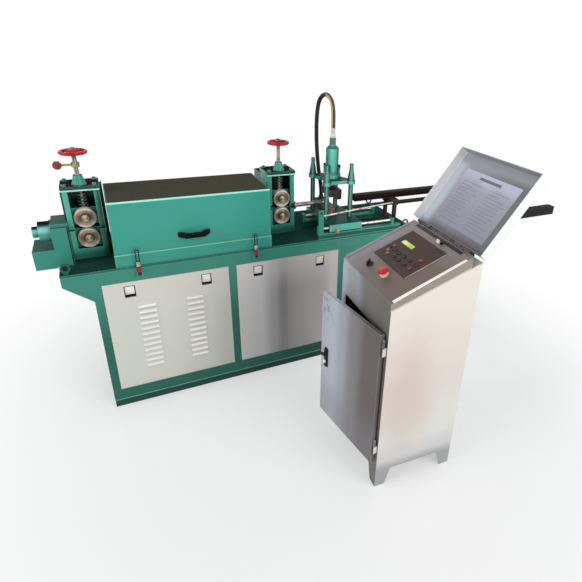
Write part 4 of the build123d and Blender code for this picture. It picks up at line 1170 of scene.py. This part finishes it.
# Console: a folded stainless cabinet on sheet feet, with a necked sloping top. Its brushed skin is cream and
# stained on the right side, brown with handling on the slope, and streaked grey and painted darker as shade
# in front. Its inside is painted shade, and the shoulder's tops beside the slope carry painted light.
console_place = (0.337, -1.216, 0)
console_turn = -3.0
slope_foot = 0.920
slope_depth = 0.336
slope_height = 0.140
hinge_off = 0.006
knuckle_reach = (0.0100, 0.0085)
knuckle_dull = (92, 88, 88)
rubbed_and_lit_pale = (244, 240, 234)
side_tones = [
    (0.08, (160, 160, 161)), (0.15, (204, 204, 202)), (0.25, (215, 216, 208)), (0.36, (217, 215, 206)),
    (0.50, (218, 209, 200)), (0.70, (223, 213, 203)), (0.90, (228, 220, 209)),
]
front_tones_and_shade = [
    (0.02, (112, 106, 102)), (0.20, (122, 118, 114)), (0.29, (158, 161, 166)), (0.36, (164, 163, 168)),
    (0.42, (184, 184, 196)),
]
slope_tones = [
    (0.10, (112, 99, 90)), (0.26, (115, 105, 99)), (0.36, (128, 120, 122)), (0.41, (142, 136, 142)),
]
stain_place = (0.12, 0.45)
stain_reach = (0.20, 0.05)
stain_tone = (207, 191, 181)
shoulder_rise = 0.374
shoulder_span = (0.890, 0.893)
shoulder_grey = (150, 142, 130)
shoulder_top_light_span = (0.912, 0.906)
shoulder_top_painted_light = (224, 218, 209)
slope_rear = (0.20, 0.30)
slope_rear_tone = (136, 127, 123)
back_tone = (206, 203, 198)
inside_shade = (58, 55, 54)
shaded_inside_limits = [
    ((0.0015, 0.0025), (0.3835, 0.3825)),
    ((0.0015, 0.0025), (0.4385, 0.4375)),
    ((0.060, 0.064), (0.885, 0.875)),
]


def local(finish, frame_of_piece):
    """Place on the surface along the axes of the piece's own frame."""
    back = frame_of_piece.inverted()
    place = spot(finish, Location=back.translation, Rotation=back.to_euler())
    return [split(place, axis) for axis in "XYZ"]


def apart(x, z):
    """Distance on the plane of X and Z."""
    return length(x.node("CombineXYZ", {}, {0: x, 2: z}))


def brushed(name, frame_of_piece, tones, stretch, rubbed_and_lit=0.45, knuckles=None):
    """Brushed sheet toned by place, with a fine grain, pale edges both rubbed and painted highlight,
    and dull knuckles.
    """
    material, finish = new_finish(name)
    soft, edges = soft_edges(finish, 0.0022)
    grain = noise(finish, 380.0, 4.0, stretch)
    streaks = noise(finish, 9.0, 3.0, [0.2 if part < 1 else 1 for part in stretch])
    cloud = noise(finish, 3.2, 3.0)
    x, y, z = local(finish, frame_of_piece)
    colour = tones(finish, x, y, z, streaks, cloud)
    colour = mixed(edges * rubbed_and_lit, colour, rubbed_and_lit_pale)
    if knuckles is not None:
        colour = mixed(band(apart(x - knuckles[0], z - knuckles[1]), *knuckle_reach), colour, knuckle_dull)
    close_finish(finish, colour, 0.40 + 0.12 * grain + 0.14 * cloud, {
        "Metallic": 0.12, "Specular IOR Level": 0.25,
        "Normal": bump(grain + 2.0 * cloud, 0.10, 0.0006, Normal=soft),
    })
    return material


def cabinet_tones(finish, x, y, z, streaks, cloud):
    side = shaded(z + 0.06 * cloud - 0.03, side_tones)
    away = apart(x - stain_place[0], 0.5 * (z - stain_place[1])) + 0.16 * cloud - 0.08
    side = mixed(band(away, *stain_reach) * 0.8, side, stain_tone)
    shoulder = z - shoulder_rise * x
    side = mixed(band(shoulder, *shoulder_span), side, shoulder_grey)
    # The front's tones are streaks and painted shade.
    front = shaded(y + 0.10 * streaks - 0.05, front_tones_and_shade)
    top = shaded(y + 0.06 * cloud - 0.03, slope_tones)
    top = mixed(band(x, *slope_rear) * 0.8, top, slope_rear_tone)
    # Painted light on the shoulder's tops beside the slope.
    top = mixed(band(shoulder, *shoulder_top_light_span), top, shoulder_top_painted_light)
    colour = mixed(band(facing(finish, "Y"), -0.6, -0.9), back_tone, side)
    colour = mixed(band(facing(finish, "X"), -0.6, -0.9), colour, front)
    colour = mixed(band(facing(finish, "Z"), 0.6, 0.85), colour, top)
    # Painted shade on the inside faces.
    inside = 1.0
    for value, limits in zip((x, y, z), shaded_inside_limits):
        for limit in limits:
            inside = inside * band(value, *limit)
    return mixed(inside, colour, inside_shade)


console_slope = math.degrees(math.atan2(slope_height, slope_depth))
slope_run = math.cos(math.radians(console_slope))
slope_rise = math.sin(math.radians(console_slope))
lid_axis = (slope_depth + hinge_off * (slope_run - slope_rise),
            slope_foot + slope_height + hinge_off * (slope_rise + slope_run))
console_frame = at(*console_place) @ turned("Z", console_turn)
slope_frame = console_frame @ at(0, 0, slope_foot) @ turned("Y", -console_slope)
dress(brushed("console_skin", console_frame, cabinet_tones, (1, 1, 0.03), knuckles=lid_axis), "console_body")

# Console door: a folded tray of the same sheet on two knuckles, streaked down its length and brown near the
# hinges where hands push it shut, and painted darker as shade on the whole face. It stands ajar.
door_axis = (-0.014, 0.008)
door_ajar = 11.0
door_streaks_and_shade = [
    (0.03, (101, 94, 92)), (0.10, (103, 96, 95)), (0.18, (130, 126, 128)), (0.26, (160, 160, 171)),
    (0.33, (180, 182, 194)), (0.42, (176, 177, 186)),
]
scuff_across = (0.31, 0.35)
scuff_above = (0.62, 0.68)
scuff_grey = (122, 120, 132)
door_low = (0.42, 0.22)
door_low_grey = (132, 129, 136)


def door_tones(finish, x, y, z, streaks, cloud):
    # Streaks with painted shade over the face.
    colour = shaded(y + 0.05 * streaks - 0.025, door_streaks_and_shade)
    scuffs = band(noise(finish, 46.0, 4.0, (1, 1, 0.5)), 0.54, 0.62)
    scuffs = scuffs * band(y, *scuff_across) * band(z, *scuff_above)
    colour = mixed(scuffs * 0.6, colour, scuff_grey)
    return mixed(band(z, *door_low) * 0.45, colour, door_low_grey)


door_swing = at(*door_axis, 0) @ turned("Z", door_ajar) @ at(-door_axis[0], -door_axis[1], 0)
door_frame = console_frame @ door_swing
dress(brushed("door_skin", door_frame, door_tones, (1, 1, 0.03)), "console_door")

# Console lid: a shallow tray folded from the same sheet and hinged behind the slope.
# White outside in the light, dull grey inside, with its brush marks across it; its left flange is painted
# white as painted light.
lid_open = 149.0
lid_streaks = [
    (0.02, (116, 118, 125)), (0.10, (124, 122, 128)), (0.37, (156, 156, 164)), (0.43, (200, 204, 212)),
]
lid_end = (-0.31, -0.345)
lid_end_grey = (164, 163, 171)
lid_low = (-0.06, -0.03)
lid_low_across = (0.42, 0.36)
lid_low_grey = (120, 117, 121)
lid_left_flange_lit = (0.4590, 0.4602)
lid_flange_painted_light = (255, 255, 255)
lid_right_flange = (-0.0222, -0.0232)
lid_outside_white = (238, 238, 240)


def lid_tones(finish, x, y, z, streaks, cloud):
    colour = shaded(y + 0.04 * streaks - 0.02, lid_streaks)
    colour = mixed(band(x, *lid_end) * 0.9, colour, lid_end_grey)
    colour = mixed(band(x, *lid_low) * band(y, *lid_low_across) * 0.7, colour, lid_low_grey)
    # Painted light on the left flange.
    colour = mixed(band(y, *lid_left_flange_lit), colour, lid_flange_painted_light)
    return mixed(band(y, *lid_right_flange), colour, lid_outside_white)


lid_frame = console_frame @ at(lid_axis[0], 0, lid_axis[1]) @ turned("Y", lid_open - console_slope)
dress(brushed("lid_skin", lid_frame, lid_tones, (1, 0.03, 1), 0.15, (0, 0)), "console_lid")

# Operator board on the console's slope: a dark membrane on a thin plate, fixed on the sheet.
# It carries a backlit display and pressed rubber keys in a few colours.
board_thick = 0.003
board_corner = (0.112, 0.358)
board_size = (0.198, 0.262)
display_spans = ((0.2295, 0.2505), (0.239, 0.3215), (board_thick, 0.0052))
display_green = (186, 212, 24)
display_deep = (168, 196, 20)
display_cell = (120, 160, 30)
key_size = (0.0150, 0.0190, 0.0032)
key_dish = (0.0022, -0.0006)
key_polish = 26
key_colours = {"black": (20, 20, 22), "red": (112, 30, 46), "orange": (136, 66, 44), "rose": (120, 66, 88),
               "amber": (126, 100, 52)}
key_shares = {
    "black": [(0.385, 0.222), (0.376, 0.353), (0.530, 0.214), (0.530, 0.353), (0.689, 0.224), (0.684, 0.368),
              (0.864, 0.376), (0.099, 0.331), (0.239, 0.355)],
    "red": [(0.857, 0.229)],
    "orange": [(0.829, 0.526)],
    "rose": [(0.131, 0.433)],
    "amber": [(0.142, 0.258), (0.218, 0.190)],
}


def backlit_display():
    material, finish = new_finish("display_glass")
    cells = finish.node("TexBrick", {"offset": 0.0}, {
        "Vector": finish.node("TexCoord", output="UV"), "Scale": 16.0, "Mortar Size": 0.03,
        "Brick Width": 1.0, "Row Height": 4.0,
    }, output="Fac")
    glow = noise(finish, 40.0, 2.0)
    tint = mixed(band(glow, 0.3, 0.7), display_green, display_deep)
    tint = mixed(cells * 0.25, tint, display_cell)
    close_finish(finish, tint, 0.18 + 0.1 * glow, {
        "Coat Weight": 0.5, "Emission Color": tint, "Emission Strength": 0.12,
    })
    return material


dress(moulded("board_film", (58, 40, 35), (66, 47, 42), 0.5), "control_board")
display = eased(block(*display_spans), 0.0006)
fit(display, "display_window", backlit_display(), "base", slope_frame)
key = block(centred(key_size[0]), centred(key_size[1]), (0, key_size[2]))
eased(stepped(key, key_dish), 0.0008)
for word, shares in key_shares.items():
    polish = [part + key_polish for part in key_colours[word]]
    key_places = [(board_corner[0] + board_size[0] * up, board_corner[1] - board_size[1] * over)
                  for over, up in shares]
    keys = set_out(key, [slope_frame @ at(*place, board_thick) for place in key_places], spent=False)
    key_rubber = moulded(f"key_{word}", key_colours[word], polish, 0.4)
    fit(keys, f"board_keys_{word}", key_rubber, "base")
bpy.data.objects.remove(key)

# Trim of the operator board: a thin bright steel bead with rounded upper edges.
# It is laid along the board's right edge.
trim_width = 0.002
trim_height = 0.0038
trim_round = 0.0008
trim_right = board_corner[1] - board_size[1]
board_trim = block((board_corner[0], board_corner[0] + board_size[0]), centred(trim_width, trim_right),
                   (0, trim_height))
pick(board_trim, "EDGE", lambda middle, line: abs(line.x) > 0.9 and middle.z > trim_height / 2)
bpy.ops.mesh.bevel(offset=trim_round, segments=3)
leave(board_trim)
trim_steel = plating("trim_steel", (186, 172, 174), (160, 148, 150), 0.4, 0.2)
fit(board_trim, "board_trim", trim_steel, "base", slope_frame)

# Stop button and selector: a red mushroom head on a pale collar, and a black pointer knob on a ring.
# All are moulded plastic, screwed together through the slope's sheet.
stop_place = slope_frame @ at(0.068, 0.181, 0)
button_foot = 0.014
button_steps = [
    (0.0150, 0.003), (0.0200, 0.0025), (0.0200, 0.005), (0.0186, 0.0035), (0.0150, 0.0026), (0.0080, 0.0014),
]
collar_radius = 0.0185
collar_thick = 0.004
collar_wall = 0.005
selector_place = slope_frame @ at(0.060, 0.297, 0) @ turned("Z", 35)
ring_radius = 0.016
ring_thick = 0.005
ring_step = (0.0025, 0.003)
pointer_spans = (centred(0.026), centred(0.009), (0.008, 0.022))
pointer_tip = (0.013, 0, 0.015)
pointer_tip_share = 0.45
stop_red = moulded("stop_red", (214, 30, 26), (190, 22, 22), 0.26)
collar_pale = moulded("collar_pale", (214, 196, 176), (190, 172, 154), 0.4)
switch_black = moulded("switch_black", (22, 22, 24), (44, 42, 44), 0.32)
button = drawn_up(36, button_foot, button_steps)
fit(button, "stop_button", stop_red, "base", stop_place, 50)
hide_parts("panel_switches")
collar = disc(36, collar_radius, (0, collar_thick))
eased(stepped(collar, (collar_wall, button_foot - collar_thick)), 0.0010)
fit(collar, "stop_button_collar", collar_pale, "base", stop_place)
ring = eased(stepped(disc(36, ring_radius, (0, ring_thick)), ring_step), 0.0007)
pointer = block(*pointer_spans)
pick(pointer, "FACE", lambda centre, normal: normal.x > 0.9)
resized((1, pointer_tip_share, 1), pointer_tip)
selector = joined(ring, eased(leave(pointer), 0.0015))
fit(selector, "selector_knob", switch_black, "base", selector_place)

# Edge strips along the slope's sides: half-round returns of the cabinet's stainless sheet, folded with it
# and flattened towards the hinge. The right one is painted bright as reflection and the left one darker.
strip_length = 0.326
strip_radius = 0.0065
strip_under_share = 0.25
strip_middle = 0.174
strip_rise = 0.0012
strip_sides = (0.0095, 0.4305)
strip_painted_reflection = [(0.10, (246, 240, 232)), (0.30, (150, 144, 148))]


def strip_reflection_tones(finish, x, y, z, streaks, cloud):
    # Painted reflection: bright on the right strip, darker on the left.
    return shaded(y, strip_painted_reflection)


strip = disc(20, strip_radius, centred(strip_length))
strip.data.transform(turned("Y", 90))
pick(strip, "FACE", lambda centre, normal: centre.z < -near_zero or normal.x > 0.9)
resized((1, 1, strip_under_share), (0, 0, 0))
eased(leave(strip), 0.0005, 1)
strips = set_out(strip, [slope_frame @ at(strip_middle, y, strip_rise) for y in strip_sides])
strip_skin = brushed("strip_skin", console_frame, strip_reflection_tones, (0.03, 1, 1))
fit(strips, "slope_edge_strips", strip_skin, "base")

# Door lock: a dark moulded swing lever on a plate near the door's free edge, screwed through the sheet.
# A bright plated key barrel sits in the plate below the lever.
lock_spot = (-0.023, 0.378, 0.4655)
lock_plate_size = (0.100, 0.024, 0.004)
lock_plate_step = (0.004, 0.006)
lever_size = (0.012, 0.014, 0.013)
lever_place = (-0.014, 0, 0.020)
lever_arm = (-0.012, 0.030, -0.010)
lever_tip_shares = (0.8, 1, 0.7)
barrel_spot = (-0.0125, 0, -0.016)
key_barrel_radius = 0.0085
key_barrel_depth = 0.006
key_barrel_dish = (0.002, -0.001)
lock_place = door_frame @ at(*lock_spot)
lock_plate = block(centred(lock_plate_size[0]), centred(lock_plate_size[1]), (0, lock_plate_size[2]))
eased(stepped(lock_plate, lock_plate_step), 0.0012)
fit(lock_plate, "door_lock", switch_black, "console_door", lock_place @ turned("Y", -90))
lever = block(*[centred(size) for size in lever_size])
pick(lever, "FACE", lambda centre, normal: normal.y > 0.9)
draw_out(*lever_arm)
resized(lever_tip_shares, (lever_arm[0], lever_arm[1] + lever_size[1] / 2, lever_arm[2]))
eased(leave(lever), 0.0018)
fit(lever, "door_lock_lever", switch_black, "console_door", lock_place @ at(*lever_place))
key_barrel = stepped(disc(24, key_barrel_radius, centred(key_barrel_depth)), key_barrel_dish)
eased(key_barrel, 0.0006)
bright_plating = plating("bright_plating", (246, 240, 232), (236, 229, 219), 0.30, 0.15)
fit(key_barrel, "door_key_barrel", bright_plating, "console_door",
    lock_place @ at(*barrel_spot) @ turned("Y", -90))

# Instruction sheet in the lid: plain paper under film, stuck to the inside of the tray.
# It has faint ruled lines and nothing to read on it.
sheet_inside = 0.0415
sheet_thick = 0.0008
sheet_along = (-0.309, -0.050)
sheet_across = (0.046, 0.393)
sheet_rows = 17.0
paper_tones = [(0.15, (200, 200, 218)), (0.5, (168, 166, 180)), (0.9, (158, 156, 170))]
ruled_grey = (116, 114, 128)
heading_grey = (84, 82, 92)


def ruled_paper():
    """Paper with two ragged columns of plain lines and a bar above them."""
    material, finish = new_finish("ruled_paper")
    x, y = local(finish, lid_frame)[:2]
    over = (sheet_across[1] - y) * (1 / (sheet_across[1] - sheet_across[0]))
    down = (x - sheet_along[0]) * (1 / (sheet_along[1] - sheet_along[0]))
    row = finish.math("FRACT", down * sheet_rows)
    line = band(row, 0.32, 0.42) * band(row, 0.78, 0.68)
    row_number = finish.math("FLOOR", down * sheet_rows)
    ragged = finish.node("TexWhiteNoise", {"noise_dimensions": "1D"}, {"W": row_number})
    column = finish.math("FRACT", over * 2.0)
    inked = line * band(column, 0.14, 0.16) * band(column - 0.35 * ragged, 0.58, 0.56)
    inked = inked * band(down, 0.17, 0.18) * band(down, 0.95, 0.94)
    heading = band(down, 0.060, 0.066) * band(down, 0.116, 0.110)
    heading = heading * band(over, 0.30, 0.31) * band(over, 0.70, 0.69)
    cloud = noise(finish, 8.0, 3.0)
    tint = shaded(down + 0.3 * cloud, paper_tones)
    tint = mixed(inked * 0.38, tint, ruled_grey)
    tint = mixed(heading * 0.8, tint, heading_grey)
    close_finish(finish, tint, 0.42 + 0.2 * cloud, {"Specular IOR Level": 0.25})
    return material


sheet = eased(block(sheet_along, sheet_across, centred(sheet_thick, sheet_inside)), 0.0003, 1)
fit(sheet, "instruction_sheet", ruled_paper(), "console_lid", lid_frame)

# Lid hinge and stay: a rolled leaf screwed along the back of the slope, black with grime and as painted shade
# of the hinge line, its fixed barrel between the lid's knuckles, and a small plated stay that the closed lid
# drops over.
barrel_radius = 0.0058
barrel_length = 0.0555
barrel_bore_wall = 0.0012
barrel_places = (0.0615, 0.163, 0.220, 0.277, 0.3785)
leaf_span = (0.058, 0.388)
leaf_edge = (0.342, 0.356)
leaf_thick = 0.0022
leaf_step = (0.004, 0.0012)
stay_place = (0.333, 0.190)
stay_size = (0.010, 0.024, 0.008)
stay_step = (0.0025, 0.009)
roller_radius = 0.006
roller_length = 0.012
roller_off = 0.018
roller_rise = 0.0065
barrel = disc(24, barrel_radius, centred(barrel_length))
pick(barrel, "FACE", lambda centre, normal: abs(normal.z) > 0.9)
bpy.ops.mesh.inset(thickness=barrel_bore_wall, use_individual=True)
eased(leave(barrel), 0.0007)
barrel_turns = [at(lid_axis[0], y, lid_axis[1]) @ turned("X", 90) for y in barrel_places]
barrels = set_out(barrel, [console_frame @ place for place in barrel_turns])
barrel_grey = moulded("barrel_grey", (98, 93, 93), (76, 72, 72), 0.55, 0.08)
fit(barrels, "lid_hinge_barrel", barrel_grey, "base")
leaf_black_shade = moulded("leaf_black_shade", (34, 31, 31), (58, 53, 52), 0.45)
leaf = eased(stepped(block(leaf_edge, leaf_span, (0, leaf_thick)), leaf_step), 0.0005)
fit(leaf, "lid_hinge_leaf", leaf_black_shade, "base", slope_frame)
stay = stepped(block(centred(stay_size[0]), centred(stay_size[1]), (0, stay_size[2])), stay_step)
eased(stay, 0.0010)
fit(stay, "lid_stay", bright_plating, "base", slope_frame @ at(*stay_place, 0))
stay_roller = eased(disc(20, roller_radius, centred(roller_length)), 0.0015)
roller_place = slope_frame @ at(stay_place[0], stay_place[1] - roller_off, roller_rise) @ turned("X", 90)
fit(stay_roller, "lid_stay_roller", switch_black, "base", roller_place)

# Studio: a plain pale floor that fades to white away from the machine, one large soft key at the front right,
# a soft fill at the left, a weak lamp behind and an even sky.
floor_size = 24.0
floor_drop = -0.0005
floor_pale = (250, 250, 249)
floor_fade = (1.1, 2.3)
floor_white = 0.45
floor_centre = (0.35, -0.45, 0.0)
sky_tint = (0.94, 0.97, 1.0, 1)
sky_strength = 0.45
plain_white = (1, 1, 1, 1)
lamps = {
    "key": ((7.0, -12.5, 6.0), 10.0, 1250.0, (0.5, -0.4, 0.7)),
    "fill": ((-8.0, -1.5, 3.6), 5.0, 330.0, (0.0, -0.4, 0.7)),
    "back": ((0.5, 6.5, 4.4), 5.0, 120.0, (0.6, 0.0, 0.8)),
}


def seen_ray(finish):
    """One where the camera sees a surface, directly, in a reflection or through another."""
    kinds = ("Camera", "Glossy", "Transmission")
    rays = [finish.node("LightPath", output=f"Is {kind} Ray") for kind in kinds]
    return finish.math("MINIMUM", rays[0] + rays[1] + rays[2], 1.0)


bpy.ops.object.select_all(action="DESELECT")
bpy.ops.mesh.primitive_plane_add(size=floor_size, location=(0, 0, floor_drop))
floor = bpy.context.object
floor.name = "studio_floor"
floor_material, finish = new_finish("studio_floor")
away = length(spot(finish, Location=[-part for part in floor_centre]))
fade = (floor_white + (1 - floor_white) * band(away, *floor_fade)) * seen_ray(finish)
pale = finish.node("BsdfDiffuse", {}, {"Color": linear(floor_pale)})
white = finish.node("Emission", {}, {"Color": plain_white, "Strength": 1.0})
ground = finish.node("MixShader", {}, {0: fade, 1: pale, 2: white})
finish.node("OutputMaterial", {}, {"Surface": ground})
floor.data.materials.append(floor_material)
for word, (place, size, power, aim) in lamps.items():
    bpy.ops.object.light_add(type="AREA", location=place)
    lamp = bpy.context.object
    lamp.name = f"{word}_lamp"
    lamp.data.size = size
    lamp.data.energy = power
    lamp.rotation_euler = (Vector(aim) - Vector(place)).to_track_quat("-Z", "Y").to_euler()
world = bpy.data.worlds.new("studio_sky")
bpy.context.scene.world = world
world.use_nodes = True
world.node_tree.nodes.clear()
sky = Finish(world.node_tree)
dim = sky.node("Background", {}, {"Color": sky_tint, "Strength": sky_strength})
bright = sky.node("Background", {}, {"Color": plain_white, "Strength": 1.0})
sky.node("OutputWorld", {}, {"Surface": sky.node("MixShader", {}, {0: seen_ray(sky), 1: dim, 2: bright})})
bpy.context.scene.view_settings.view_transform = "Standard"
